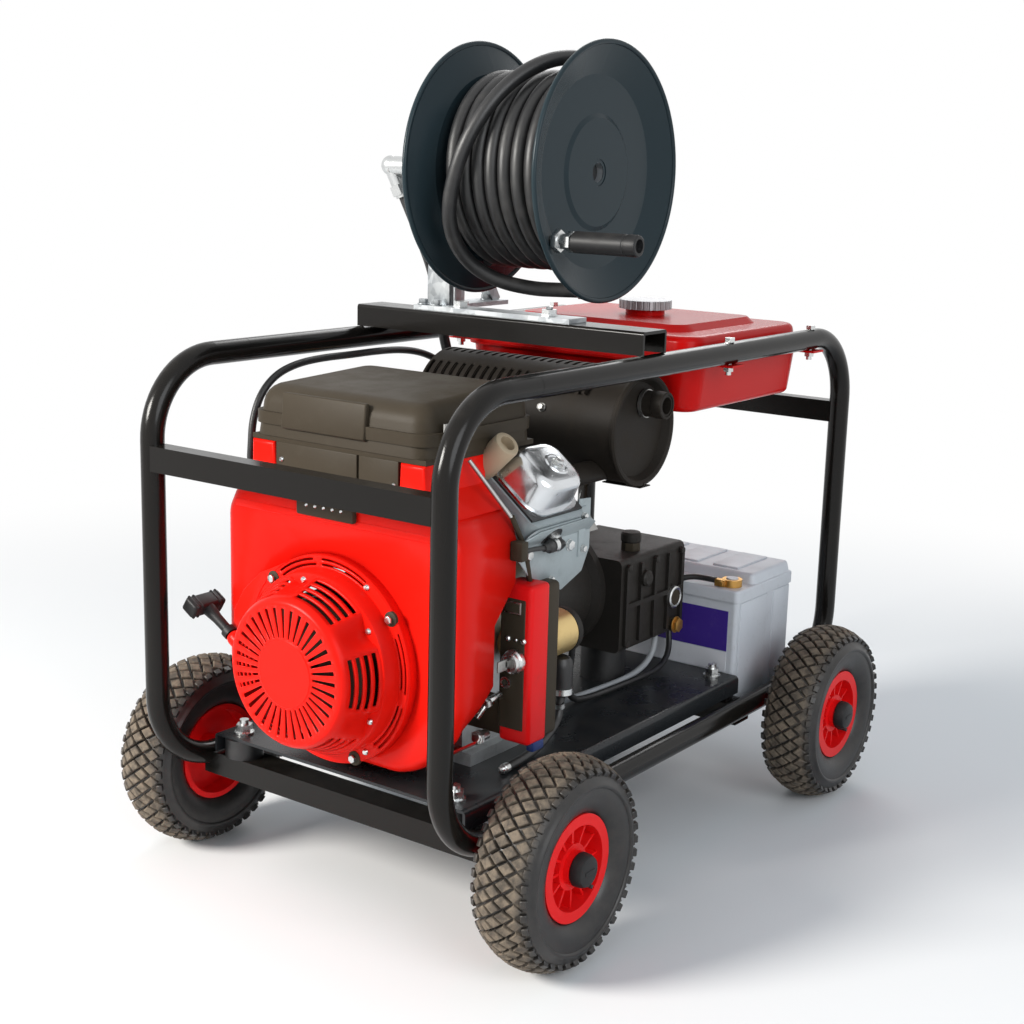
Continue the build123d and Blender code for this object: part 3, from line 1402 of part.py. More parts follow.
# Fuel tank: drawn lower and upper halves on a seam flange, ears under the rails, filler neck
tank_bolts = [(side * loop_half_width, y) for side in (-1, 1) for y in (tank_bolt_front, tank_bolt_rear)]
filler_top = tank_high + tank_crown + filler_height
with BuildPart() as fuel_tank:
    with BuildSketch(Plane.XY.offset(tank_seam)):
        with Locations((tank_x, tank_y)):
            RectangleRounded(tank_length, tank_depth, tank_corner)
    extrude(amount=tank_low - tank_seam, taper=7)
    fillet(fuel_tank.faces().sort_by(Axis.Z)[0].edges(), 10)
    with BuildSketch(Plane.XY.offset(tank_seam)):
        with Locations((tank_x, tank_y)):
            RectangleRounded(tank_length, tank_depth, tank_corner)
    extrude(amount=tank_high - tank_seam, taper=9)
    fillet(fuel_tank.faces().sort_by(Axis.Z)[-1].edges(), 10)
    with BuildSketch(Plane.XY.offset(tank_high - 1)):
        with Locations((tank_x, tank_y)):
            RectangleRounded(tank_length - 90, tank_depth - 90, tank_corner)
    extrude(amount=tank_crown + 1, taper=50)
    with BuildSketch(Plane.XY.offset(tank_seam - tank_sheet)):
        with Locations((tank_x, tank_y)):
            RectangleRounded(
                tank_length + 2 * tank_flange,
                tank_depth + 2 * tank_flange,
                tank_corner + tank_flange,
            )
    extrude(amount=tank_sheet)
    for side in (-1, 1):
        ear_in = tank_x + side * (tank_length / 2 - 4)
        ear_out = side * (loop_half_width + tube_r)
        for y in (tank_bolt_front, tank_bolt_rear):
            with Locations(((ear_in + ear_out) / 2, y, tank_seam - tank_sheet / 2)):
                Box(abs(ear_out - ear_in), tank_ear_width, tank_sheet)
    with Locations(*[(x, y, tank_seam) for x, y in tank_bolts]):
        Cylinder(tank_bolt_r + bolt_gap, 4 * tank_sheet, mode=Mode.SUBTRACT)
    with BuildSketch(Plane.XY.offset(tank_high - 2)):
        with Locations((filler_x, filler_y)):
            Circle(filler_r)
    extrude(amount=filler_top - tank_high + 2)
    with BuildSketch(Plane.XY.offset(tank_low - valve_drop)):
        with Locations((valve_x, valve_y)):
            Circle(valve_r)
    extrude(amount=valve_drop + 4)
    with Locations((tank_x, tank_y, (tank_low + tank_high) / 2)):
        Box(
            tank_length - 4 * tank_wall,
            tank_depth - 4 * tank_wall,
            tank_high - tank_low - 2 * tank_wall,
            mode=Mode.SUBTRACT,
        )
    with BuildSketch(Plane.XY.offset(tank_high - 2 * tank_wall)):
        with Locations((filler_x, filler_y)):
            Circle(filler_bore_r)
    extrude(amount=filler_top - tank_high + 2 * tank_wall, mode=Mode.SUBTRACT)
finish(fuel_tank, "fuel_tank")

# Fuel cap: a ridged disc with a plug in the filler neck
with BuildPart() as fuel_cap:
    with BuildSketch(Plane.XY.offset(filler_top + side_gap)):
        with Locations((filler_x, filler_y)):
            Circle(cap_r)
            with PolarLocations(cap_r + 0.6, cap_ridge_count):
                Circle(2, mode=Mode.SUBTRACT)
    extrude(amount=cap_height)
    fillet(fuel_cap.faces().sort_by(Axis.Z)[-1].edges(), 1)
    with BuildSketch(Plane.XY.offset(filler_top + side_gap)):
        with Locations((filler_x, filler_y)):
            Circle(filler_bore_r - side_gap)
    extrude(amount=-filler_height)
finish(fuel_cap, "fuel_cap")

# Channel across the top rails, open underneath
with BuildPart() as reel_channel:
    with BuildSketch(side_plane(-channel_half_length)):
        with Locations((channel_mid, channel_under + channel_height / 2)):
            channel_outline = Rectangle(channel_width, channel_height)
        fillet(channel_outline.vertices().group_by(Axis.Y)[-1], channel_wall)
        with Locations((channel_mid, channel_under + channel_height / 2 - channel_wall)):
            Rectangle(channel_width - 2 * channel_wall, channel_height, mode=Mode.SUBTRACT)
    extrude(amount=2 * channel_half_length)
    with Locations((-stand_bolt_x, channel_mid, channel_top), (stand_bolt_x, channel_mid, channel_top)):
        Cylinder(stand_bolt_r + bolt_gap, 4 * channel_wall, mode=Mode.SUBTRACT)
finish(reel_channel, "reel_channel")

# Reel stand: base bar and leg, post, strut and the tube that the reel turns on
hub_out_left = drum_left - disc_sheet - disc_step
hub_out_right = drum_right + disc_sheet + disc_step
post_right = post_left + post_width
with BuildPart() as reel_stand:
    with Locations((0, channel_mid, base_low + base_thickness / 2)):
        Box(2 * base_half_length, base_width, base_thickness)
    leg_front = channel_mid - base_width / 2
    with Locations(
        (base_leg_left + base_leg_width / 2, (leg_front + base_leg_rear) / 2, base_low + base_thickness / 2)
    ):
        Box(base_leg_width, base_leg_rear - leg_front, base_thickness)
    post_top = reel_z + post_above
    with Locations((post_left + post_width / 2, reel_y, (base_low + post_top) / 2)):
        Box(post_width, post_depth, post_top - base_low)
    strut_low = Vector(post_left + post_width / 2, base_leg_rear - strut_r - 2, base_top)
    strut_high = Vector(post_left + post_width / 2, reel_y + post_depth / 2, reel_z - 46)
    strut_way = (strut_high - strut_low).normalized()
    with BuildSketch(along(strut_low - strut_way * 2, strut_way)):
        Rectangle(2 * strut_r, 2 * strut_r)
    extrude(amount=(strut_high - strut_low).length + 8)
    with BuildSketch(side_plane(post_right - 1)):
        with Locations((reel_y, reel_z)):
            Circle(reel_axle_r)
    extrude(amount=hub_out_right - post_right + 1 - 2)
    with BuildSketch(side_plane(post_right - 1)):
        with Locations((reel_y, reel_z)):
            Circle(reel_axle_r + 7)
    extrude(amount=hub_out_left - side_gap - post_right + 1)
    with BuildSketch(side_plane(post_left)):
        with Locations((reel_y, reel_z)):
            Circle(reel_axle_bore_r)
    extrude(amount=hub_out_right - post_left, mode=Mode.SUBTRACT)
    with Locations((-stand_bolt_x, channel_mid, base_top), (stand_bolt_x, channel_mid, base_top)):
        Cylinder(stand_bolt_r + bolt_gap, 4 * base_thickness, mode=Mode.SUBTRACT)
finish(reel_stand, "reel_stand")

# Swivel: body on the post, elbow and the arm that takes the feed hose
elbow = Vector(post_left - seat_gap - swivel_reach, reel_y, reel_z)
arm_way = Vector(17, 10, -45).normalized()
arm_end = elbow + arm_way * swivel_arm
swivel_plane = Plane(origin=(post_left, reel_y, reel_z), x_dir=(0, -1, 0), z_dir=(-1, 0, 0))
with BuildPart() as swivel_elbow:
    with BuildSketch(swivel_plane.offset(seat_gap)):
        Circle(swivel_r)
    extrude(amount=swivel_reach)
    with BuildSketch(swivel_plane.offset(22)):
        RegularPolygon(swivel_r + 5, 6)
    extrude(amount=24)
    with Locations(elbow):
        Sphere(swivel_r + 1)
    with BuildSketch(along(elbow, arm_way)):
        Circle(swivel_r - 2)
    extrude(amount=swivel_arm)
    with BuildSketch(along(elbow + arm_way * (swivel_arm - 18), arm_way)):
        RegularPolygon(swivel_r + 2, 6)
    extrude(amount=14)
finish(swivel_elbow, "swivel_elbow")

# Reel spool: two dished discs with rolled rims, a drum and a hub tube that turns on the stand's axle
spool_plane = Plane(origin=(0, reel_y, reel_z), x_dir=(1, 0, 0), z_dir=(0, -1, 0))
spool_axis = Axis((0, reel_y, reel_z), (1, 0, 0))
hub_bore_r = reel_axle_r + run_gap
flare_r = disc_r - 2 * disc_bead_r + 2
near_disc = [
    (disc_sheet + disc_step, hub_bore_r),
    (disc_sheet + disc_step, disc_step_r),
    (disc_sheet, disc_step_r + 6),
    (disc_sheet, disc_flat_r),
    (disc_sheet + disc_flare, flare_r),
    (disc_flare, flare_r + 0.8),
    (0, disc_flat_r + 0.8),
    (0, disc_step_r + 5),
    (disc_step, disc_step_r - 1),
    (disc_step, hub_bore_r),
]
bead_x = disc_flare + 1
bead_mid_r = disc_r - disc_bead_r
with BuildPart() as reel_spool:
    with BuildSketch(spool_plane):
        with BuildLine():
            Polyline(*[(drum_right + x, r) for x, r in near_disc], close=True)
        make_face()
        with BuildLine():
            Polyline(*[(drum_left - x, r) for x, r in near_disc], close=True)
        make_face()
        with Locations((drum_right + bead_x, bead_mid_r), (drum_left - bead_x, bead_mid_r)):
            Circle(disc_bead_r)
        with Locations(((drum_left + drum_right) / 2, drum_r - drum_wall / 2)):
            Rectangle(drum_right - drum_left + disc_sheet, drum_wall)
        with Locations(((drum_left + drum_right) / 2, hub_bore_r + drum_wall)):
            Rectangle(drum_right - drum_left + 2 * disc_step, 2 * drum_wall)
    revolve(axis=spool_axis)
    with BuildSketch(side_plane(drum_left)):
        with Locations((reel_y, reel_z)):
            with PolarLocations((drum_r + hub_bore_r) / 2, 4):
                Circle(8)
    extrude(amount=-20, mode=Mode.SUBTRACT)
    with BuildSketch(side_plane(drum_right)):
        with Locations((reel_y + crank_pin_y, reel_z + crank_pin_z)):
            Circle(crank_pin_r + bolt_gap)
    extrude(amount=3 * disc_flare, mode=Mode.SUBTRACT)
finish(reel_spool, "reel_spool")

# Crank pin through the near disc, and the grip that turns on it
pin_r = sqrt(crank_pin_y**2 + crank_pin_z**2)
flare_slope = disc_flare / (flare_r - disc_flat_r)
collar_in = drum_right + disc_sheet + flare_slope * (pin_r + crank_collar_r - disc_flat_r) + seat_gap
grip_in = collar_in + crank_collar + side_gap
pin_in = drum_right + flare_slope * (pin_r - crank_pin_r - disc_flat_r)
crank_place = (reel_y + crank_pin_y, reel_z + crank_pin_z)
with BuildPart() as crank_pin:
    with BuildSketch(side_plane(pin_in)):
        with Locations(crank_place):
            Circle(crank_pin_r)
    extrude(amount=grip_in + grip_length + side_gap - pin_in)
    with BuildSketch(side_plane(collar_in)):
        with Locations(crank_place):
            Circle(crank_collar_r)
    extrude(amount=crank_collar)
    with BuildSketch(side_plane(collar_in + 8)):
        with Locations(crank_place):
            RegularPolygon(crank_collar_r + 3, 6)
    extrude(amount=9)
    with BuildSketch(side_plane(grip_in + grip_length + side_gap)):
        with Locations(crank_place):
            Circle(crank_pin_r + 3)
    extrude(amount=3)
finish(crank_pin, "crank_pin")

with BuildPart() as crank_grip:
    with BuildSketch(side_plane(grip_in)):
        with Locations(crank_place):
            Circle(grip_r)
    extrude(amount=grip_length)
    fillet(crank_grip.edges().filter_by(GeomType.CIRCLE), 3)
    with BuildSketch(side_plane(grip_in)):
        with Locations(crank_place):
            Circle(crank_pin_r + run_gap)
    extrude(amount=grip_length, mode=Mode.SUBTRACT)
finish(crank_grip, "crank_grip")

# Hose: inner layers as a plain core, and one outer layer of turns that ends in a loose turn and a tail
core_r = hose_coil_r - hose_r - hose_gap
with BuildPart() as hose_inner_layers:
    with BuildSketch(side_plane(drum_left + seat_gap)):
        with Locations((reel_y, reel_z)):
            Circle(core_r)
            Circle(drum_r + seat_gap, mode=Mode.SUBTRACT)
    extrude(amount=drum_right - drum_left - 2 * seat_gap)
finish(hose_inner_layers, "hose_inner_layers")

hose_first_x = drum_left + hose_r + hose_gap
hose_last_x = hose_first_x + hose_turns * hose_pitch


def round_reel(x, radius, turn):
    """A point at this turn of the reel, in turns from its lowest point by way of the back."""
    return Vector(x, reel_y + radius * sin(2 * pi * turn), reel_z - radius * cos(2 * pi * turn))


coil_ways = []
for i in range(4 * hose_turns + 1):
    place = round_reel(hose_first_x + hose_pitch * i / 4, hose_coil_r, i / 4)
    way = Vector(hose_pitch / (2 * pi), hose_coil_r * cos(pi * i / 2), hose_coil_r * sin(pi * i / 2))
    coil_ways.append((place, way.normalized()))
climb = [
    (0.125, 1.6, 9.0),
    (0.25, 1.4, 16.5),
    (0.375, -4.0, 22.0),
    (0.5, -22.0, 24.0),
    (0.625, -60.0, 25.0),
    (0.75, -101.0, 26.0),
]
tail_offsets = [
    (-119, -136, -56),
    (-122, -113, -102),
    (-104, -79, -131),
    (-74, -45, -146),
    (-42, -21, -150),
    (-16, -5, -151),
]
loose = [round_reel(hose_last_x + dx, hose_coil_r + dr, turn) for turn, dx, dr in climb]
loose += [Vector(hose_last_x + dx, reel_y + dy, reel_z + dz) for dx, dy, dz in tail_offsets]
hose_nodes = list(coil_ways)
for i, place in enumerate(loose):
    before = loose[i - 1] if i else coil_ways[-1][0]
    after = loose[i + 1] if i + 1 < len(loose) else place + (place - before)
    hose_nodes.append((place, (after - before).normalized()))


def biarc(start, start_way, end, end_way):
    """Two tangent arcs from start to end that leave and arrive along the given ways."""
    chord = end - start
    both = start_way + end_way
    square = both.dot(both) - 4
    linear = -2 * chord.dot(both)
    reach = (-linear - sqrt(linear**2 - 4 * square * chord.dot(chord))) / (2 * square)
    leave = start + start_way * reach
    arrive = end - end_way * reach
    middle = (leave + arrive) * 0.5
    first = TangentArc(start, middle, tangent=start_way)
    second = TangentArc(middle, end, tangent=(arrive - leave).normalized())
    return first, second


with BuildPart() as hose_coil:
    with BuildLine() as hose_route:
        lead_in = hose_nodes[0][0] - hose_nodes[0][1] * 2 * hose_r
        Line(lead_in, hose_nodes[0][0])
        for (start, start_way), (end, end_way) in zip(hose_nodes, hose_nodes[1:]):
            biarc(start, start_way, end, end_way)
        lead_out = hose_nodes[-1][0] + hose_nodes[-1][1] * hose_r
        Line(hose_nodes[-1][0], lead_out)
    with BuildSketch(along(lead_in, hose_nodes[0][1])):
        Circle(hose_r)
    sweep(path=hose_route.wire())
hose_length = hose_route.wire().length
step = hose_r / 2
samples = [hose_route.wire() @ (i * step / hose_length) for i in range(int(hose_length / step))]
apart = int(4 * pi * hose_r / step)
least = min(
    (samples[i] - samples[j]).length for i in range(len(samples)) for j in range(i + apart, len(samples))
)
hose_share = hose_coil.part.volume / (pi * hose_r**2 * hose_length)
print("hose length", round(hose_length), "least gap to itself", round(least - 2 * hose_r, 2))
print("hose volume share", round(hose_share, 3))
finish(hose_coil, "hose_coil")

# Hose end fitting: a ferrule and a hexagon nose with the socket for the spray gun
hose_way = hose_nodes[-1][1]
coupling_start = lead_out + hose_way * seat_gap
coupling_end = coupling_start + hose_way * coupling_length
with BuildPart() as hose_connector:
    with BuildSketch(along(coupling_start, hose_way)):
        Circle(hose_r + 1.5)
    extrude(amount=coupling_length / 2)
    with BuildSketch(along(coupling_start, hose_way)):
        RegularPolygon(hose_r + 1, 6)
    extrude(amount=coupling_length)
    with BuildSketch(along(coupling_end - hose_way * coupling_depth, hose_way)):
        Circle(coupling_bore_r)
    extrude(amount=coupling_depth, mode=Mode.SUBTRACT)
print("coupling", [round(v, 3) for v in coupling_end], [round(v, 6) for v in hose_way])
finish(hose_connector, "hose_connector")

# Feed hose from the pump's outlet up inside the left rail to the swivel
feed_in = feed_r + feed_rail_gap - rail_side
feed_points = [
    (outlet_port[0], outlet_port[1], head_block_high + 20 + seat_gap),
    (outlet_port[0], outlet_port[1], head_block_high + 58),
    (outlet_port[0] - 12, outlet_port[1] - 22, head_block_high + 106),
    (outlet_port[0] - 44, outlet_port[1] - 66, head_block_high + 150),
    (feed_in + 20, outlet_port[1] - 112, head_block_high + 200),
    (feed_in + 4, outlet_port[1] - 146, head_block_high + 262),
    (feed_in, outlet_port[1] - 168, head_block_high + 330),
    (feed_in - 2, outlet_port[1] - 182, head_block_high + 400),
    tuple(arm_end + arm_way * 60),
    tuple(arm_end + arm_way * seat_gap),
]
with BuildPart() as feed_hose:
    with BuildLine() as feed_route:
        feed_line, feed_radii = cord_path(feed_points)
    with BuildSketch(along(feed_points[0], feed_line % 0)):
        Circle(feed_r)
    sweep(path=feed_route.wire())
report_cord("feed_hose", feed_hose, feed_line, feed_radii, feed_r)
finish(feed_hose, "feed_hose")

# Fuel hose from the front of the tank along the left rail and down to the shroud's shoulder
rail_in = fuel_line_r + fuel_rail_gap - rail_side
shoulder_low = Vector(-shroud_half_width, shroud_front + 67, shroud_shoulder)
shoulder_high = Vector(16 - shroud_half_width, shroud_front + 67, shroud_top - 4)
shoulder_out = Vector(shoulder_low.Z - shoulder_high.Z, 0, shoulder_high.X - shoulder_low.X).normalized()
shoulder_seat = (shoulder_low + shoulder_high) * 0.5 + shoulder_out * 0.3
valve_z = tank_low - valve_drop + valve_r
fuel_points = [
    (valve_x - valve_r - 0.3, valve_y, valve_z),
    (valve_x - valve_r - 24, valve_y, valve_z),
    (rail_in + 13, valve_y - 14, valve_z + 4),
    (rail_in + 5, valve_y - 40, valve_z + 14),
    (rail_in + 1.5, valve_y - 74, valve_z + 31),
    (rail_in, valve_y - 114, tank_seam - 33),
    (rail_in - 0.5, valve_y - 156, tank_seam - 15),
    (rail_in, valve_y - 206, tank_seam - 6),
    (rail_in - 0.5, valve_y - 261, tank_seam - 4),
    (rail_in, valve_y - 316, tank_seam - 4.5),
    (rail_in - 0.5, valve_y - 371, tank_seam - 4),
    (rail_in, valve_y - 421, tank_seam - 7),
    (rail_in - 0.5, valve_y - 462, tank_seam - 18),
    (rail_in, valve_y - 491, tank_seam - 41),
    (rail_in - 0.5, valve_y - 505, tank_seam - 74),
    (rail_in + 1, valve_y - 509, tank_seam - 104),
    tuple(shoulder_seat + shoulder_out * 23 + Vector(-7.5, 0, 20)),
    tuple(shoulder_seat + shoulder_out * 23),
    tuple(shoulder_seat),
]
with BuildPart() as fuel_hose:
    with BuildLine() as fuel_route:
        fuel_line, fuel_radii = cord_path(fuel_points)
    with BuildSketch(along(fuel_points[0], fuel_line % 0)):
        Circle(fuel_line_r)
    sweep(path=fuel_route.wire())
report_cord("fuel_hose", fuel_hose, fuel_line, fuel_radii, fuel_line_r)
finish(fuel_hose, "fuel_hose")

# Fasteners: mount studs with washers and nuts, tank bolts, stand bolts and axle caps
with BuildPart() as fasteners:
    for x, y in mount_places:
        with BuildSketch(Plane.XY.offset(tray_top + seat_gap)):
            with Locations((x, y)):
                Circle(washer_r)
        extrude(amount=washer_thickness)
        with BuildSketch(Plane.XY.offset(tray_top + seat_gap + washer_thickness)):
            with Locations((x, y)):
                RegularPolygon(nut_across / 2, 6, major_radius=False)
        extrude(amount=nut_height)
        with BuildSketch(Plane.XY.offset(lower_cross_top + 2 * seat_gap)):
            with Locations((x, y)):
                Circle(stud_r)
        extrude(amount=tray_top - lower_cross_top + washer_thickness + nut_height + stud_tail)
    for x, y in tank_bolts:
        with BuildSketch(Plane.XY.offset(rail_top + seat_gap)):
            with Locations((x, y)):
                RegularPolygon(1.6 * tank_bolt_r, 6, major_radius=False)
        extrude(amount=1.4 * tank_bolt_r)
        with BuildSketch(Plane.XY.offset(rail_top + 2 * seat_gap)):
            with Locations((x, y)):
                Circle(tank_bolt_r)
        extrude(amount=tank_seam - tank_sheet - rail_top - 3 * tank_bolt_r)
        with BuildSketch(Plane.XY.offset(tank_seam - tank_sheet - seat_gap)):
            with Locations((x, y)):
                RegularPolygon(1.6 * tank_bolt_r, 6, major_radius=False)
        extrude(amount=-1.6 * tank_bolt_r)
    for x in (-stand_bolt_x, stand_bolt_x):
        with BuildSketch(Plane.XY.offset(base_top + seat_gap)):
            with Locations((x, channel_mid)):
                RegularPolygon(1.9 * stand_bolt_r, 6, major_radius=False)
        extrude(amount=1.6 * stand_bolt_r)
        with BuildSketch(Plane.XY.offset(base_top + 2 * seat_gap)):
            with Locations((x, channel_mid)):
                Circle(stand_bolt_r)
        extrude(amount=-(base_thickness + channel_wall + 3 * stand_bolt_r))
        with BuildSketch(Plane.XY.offset(channel_top - channel_wall - seat_gap)):
            with Locations((x, channel_mid)):
                RegularPolygon(1.7 * stand_bolt_r, 6, major_radius=False)
        extrude(amount=-1.6 * stand_bolt_r)
    for side, y in wheel_places.values():
        cap_in = side * (hub_out + side_gap)
        cap_plane = Plane(origin=(cap_in, y, axle_z), x_dir=(0, side, 0), z_dir=(side, 0, 0))
        with BuildSketch(cap_plane):
            Circle(axle_cap_r)
        extrude(amount=axle_tail + axle_cap_wall + seat_gap)
        fillet(fasteners.faces(Select.LAST).sort_by(Axis(cap_plane.origin, cap_plane.z_dir))[-1].edges(), 3)
        with BuildSketch(cap_plane):
            Circle(axle_r + run_gap)
        extrude(amount=axle_tail + seat_gap, mode=Mode.SUBTRACT)
finish(fasteners, "fasteners")
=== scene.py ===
"""Looks of the pressure washer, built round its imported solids. Metres, +Z up, hand starter towards -Y."""
import json
from math import atan2, cos, degrees, pi, radians, sin

import bmesh
import bpy
from mathutils import Matrix, Vector


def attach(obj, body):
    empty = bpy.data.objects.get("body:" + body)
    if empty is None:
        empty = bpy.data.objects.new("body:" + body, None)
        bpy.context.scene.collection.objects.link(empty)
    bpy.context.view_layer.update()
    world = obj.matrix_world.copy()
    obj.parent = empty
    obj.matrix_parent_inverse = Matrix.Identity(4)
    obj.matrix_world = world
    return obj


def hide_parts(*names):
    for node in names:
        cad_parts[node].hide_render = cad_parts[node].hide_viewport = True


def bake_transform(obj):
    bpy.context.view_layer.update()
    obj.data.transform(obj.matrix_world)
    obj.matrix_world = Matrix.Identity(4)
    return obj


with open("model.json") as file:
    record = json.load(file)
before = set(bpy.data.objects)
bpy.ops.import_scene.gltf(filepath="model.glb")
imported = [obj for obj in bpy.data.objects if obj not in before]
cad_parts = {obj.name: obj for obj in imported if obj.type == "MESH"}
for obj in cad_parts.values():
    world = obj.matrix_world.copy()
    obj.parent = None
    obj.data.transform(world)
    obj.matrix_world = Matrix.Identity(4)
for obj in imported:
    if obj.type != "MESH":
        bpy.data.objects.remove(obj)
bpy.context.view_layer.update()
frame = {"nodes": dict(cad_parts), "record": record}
MM = 0.001


# Node trees


class Shade:
    """One output of a node tree, with arithmetic on values."""

    def __init__(self, tree, socket):
        self.tree = tree
        self.socket = socket

    def math(self, operation, first, second):
        return self.tree.node("ShaderNodeMath", {"operation": operation}, {0: first, 1: second})

    def __add__(self, other):
        return self.math("ADD", self, other)

    def __radd__(self, other):
        return self.math("ADD", other, self)

    def __sub__(self, other):
        return self.math("SUBTRACT", self, other)

    def __rsub__(self, other):
        return self.math("SUBTRACT", other, self)

    def __mul__(self, other):
        return self.math("MULTIPLY", self, other)

    def __rmul__(self, other):
        return self.math("MULTIPLY", other, self)


class Tree:
    """The nodes of one material or of the world."""

    def __init__(self, owner):
        owner.use_nodes = True
        self.nodes = owner.node_tree.nodes
        self.links = owner.node_tree.links
        self.nodes.clear()

    def node(self, kind, settings=None, sockets=None, out=0):
        """Add a node: its settings first, then the values or links of its sockets."""
        made = self.nodes.new(kind)
        for key, value in (settings or {}).items():
            setattr(made, key, value)
        for key, value in (sockets or {}).items():
            if isinstance(value, Shade):
                self.links.new(value.socket, made.inputs[key])
            else:
                made.inputs[key].default_value = value
        return Shade(self, made.outputs[out]) if made.outputs else made


class Finish(Tree):
    """A procedural material on a piece's own coordinates."""

    def __init__(self, name):
        self.material = bpy.data.materials.new(name)
        super().__init__(self.material)
        self.place = self.node("ShaderNodeTexCoord", out="Object")

    def noise(self, scale, detail=3.0, rough=0.55):
        sockets = {"Vector": self.place, "Scale": scale, "Detail": detail, "Roughness": rough}
        return self.node("ShaderNodeTexNoise", {}, sockets)

    def cells(self, scale, out="Distance"):
        return self.node("ShaderNodeTexVoronoi", {}, {"Vector": self.place, "Scale": scale}, out=out)

    def band(self, value, low, high):
        """A soft step from 0 at the low value to 1 at the high one."""
        sockets = {"Value": value, "From Min": low, "From Max": high}
        return self.node("ShaderNodeMapRange", {"interpolation_type": "SMOOTHSTEP"}, sockets)

    def facing_up(self):
        normal = self.node("ShaderNodeNewGeometry", out="Normal")
        return self.node("ShaderNodeSeparateXYZ", {}, {"Vector": normal}, out="Z")

    def mix(self, factor, first, second):
        sockets = {"Factor": factor, 6: first, 7: second}
        return self.node("ShaderNodeMix", {"data_type": "RGBA"}, sockets, out=2)

    def bump(self, height, strength, depth):
        sockets = {"Height": height, "Strength": strength, "Distance": depth}
        return self.node("ShaderNodeBump", {}, sockets)

    def surface(self, **sockets):
        named = {key.replace("_", " "): value for key, value in sockets.items()}
        shader = self.node("ShaderNodeBsdfPrincipled", {}, named)
        self.node("ShaderNodeOutputMaterial", {}, {"Surface": shader})
        return self.material


def rgb(red, green, blue):
    """A colour given as it looks on a screen, 0 to 255."""
    parts = [part / 255 for part in (red, green, blue)]
    return (*[part / 12.92 if part < 0.04045 else ((part + 0.055) / 1.055) ** 2.4 for part in parts], 1.0)


# Finishes


def gloss_paint(name, colour, dust, rough, dusty, shine):
    """Sprayed or powder paint: orange peel, a little dust on what faces up and dull patches."""
    paint = Finish(name)
    patches = paint.band(paint.noise(5, detail=3), 0.3, 0.8)
    upper = paint.band(paint.facing_up(), 0.35, 1.0)
    settled = upper * paint.band(paint.noise(26, detail=6, rough=0.65), 0.4, 0.8)
    dull = tuple(part * 0.85 for part in colour[:3]) + (1.0,)
    tone = paint.mix(patches * 0.25, colour, dull)
    orange_peel = paint.noise(420, detail=1)
    return paint.surface(
        Base_Color=paint.mix(settled * dusty, tone, dust),
        Roughness=rough + patches * 0.03 + settled * (dusty * 0.8),
        Specular_IOR_Level=shine,
        Normal=paint.bump(orange_peel, strength=0.06, depth=0.0006),
    )


def moulded_plastic(name, colour, dust, rough=0.45, grain=0.25, dusty=0.3, shine=0.3):
    """Moulded plastic or rubber: fine grain, scuffs and dust on what faces up."""
    plastic = Finish(name)
    texture = plastic.noise(900, detail=2)
    scuffs = plastic.band(plastic.noise(60, detail=6, rough=0.7), 0.52, 0.8)
    upper = plastic.band(plastic.facing_up(), 0.2, 1.0)
    settled = upper * plastic.band(plastic.noise(18, detail=5, rough=0.6), 0.35, 0.75)
    wear_dust_and_gap_shade = plastic.mix(scuffs * 0.25, colour, dust)
    return plastic.surface(
        Base_Color=plastic.mix(settled * dusty, wear_dust_and_gap_shade, dust),
        Roughness=rough + scuffs * 0.12 + settled * 0.15,
        Specular_IOR_Level=shine,
        Normal=plastic.bump(texture, strength=grain, depth=0.0004),
    )


def bare_metal(name, colour, stain, rough, stained=0.3, grain=0.08):
    """Bare or plated metal: fine grain, stains and uneven polish."""
    metal = Finish(name)
    stains = metal.band(metal.noise(38, detail=6, rough=0.65), 0.46, 0.78)
    polish = metal.noise(14, detail=4)
    return metal.surface(
        Base_Color=metal.mix(stains * stained, colour, stain),
        Metallic=1.0,
        Roughness=rough + polish * 0.12 + stains * 0.15,
        Normal=metal.bump(metal.noise(700, detail=3), strength=grain, depth=0.0005),
    )


def cast_metal(name, colour, dark, rough, metallic=0.85, grain=0.5, shine=0.5):
    """Sand or pressure cast metal: coarse skin, dark pits and rubbed high spots."""
    cast = Finish(name)
    skin = cast.noise(330, detail=5, rough=0.7)
    pits = cast.band(cast.cells(420), 0.0, 0.28)
    grime = cast.band(cast.noise(24, detail=6, rough=0.65), 0.44, 0.76)
    tone = cast.mix(grime * 0.45, colour, dark)
    return cast.surface(
        Base_Color=cast.mix((1 - pits) * 0.3, tone, dark),
        Metallic=metallic,
        Roughness=rough + skin * 0.14 + grime * 0.12,
        Specular_IOR_Level=shine,
        Normal=cast.bump(skin + pits * 0.4, strength=grain, depth=0.0006),
    )


def spangled_zinc(name):
    """Hot-dip zinc: crystals of different greys and a dull bloom."""
    zinc = Finish(name)
    crystals = zinc.cells(85, out="Color")
    grey = zinc.node("ShaderNodeSeparateXYZ", {}, {"Vector": crystals}, out="X")
    bloom = zinc.band(zinc.noise(22, detail=5, rough=0.6), 0.4, 0.75)
    tone = zinc.mix(grey, rgb(146, 151, 155), rgb(186, 190, 193))
    return zinc.surface(
        Base_Color=zinc.mix(bloom * 0.4, tone, rgb(206, 207, 205)),
        Metallic=0.75,
        Roughness=0.34 + grey * 0.14 + bloom * 0.15,
        Normal=zinc.bump(zinc.noise(260, detail=3), strength=0.08, depth=0.0005),
    )


def hose_rubber(name, colour):
    """Hose rubber: the fine weave that its wrapping leaves, scuffs and a dull bloom."""
    rubber = Finish(name)
    weave = rubber.noise(1150, detail=1)
    bloom = rubber.band(rubber.noise(34, detail=5, rough=0.6), 0.45, 0.75)
    return rubber.surface(
        Base_Color=rubber.mix(bloom * 0.3, colour, rgb(70, 68, 66)),
        Roughness=0.42 + bloom * 0.14,
        Specular_IOR_Level=0.55,
        Normal=rubber.bump(weave, strength=0.35, depth=0.0004),
    )


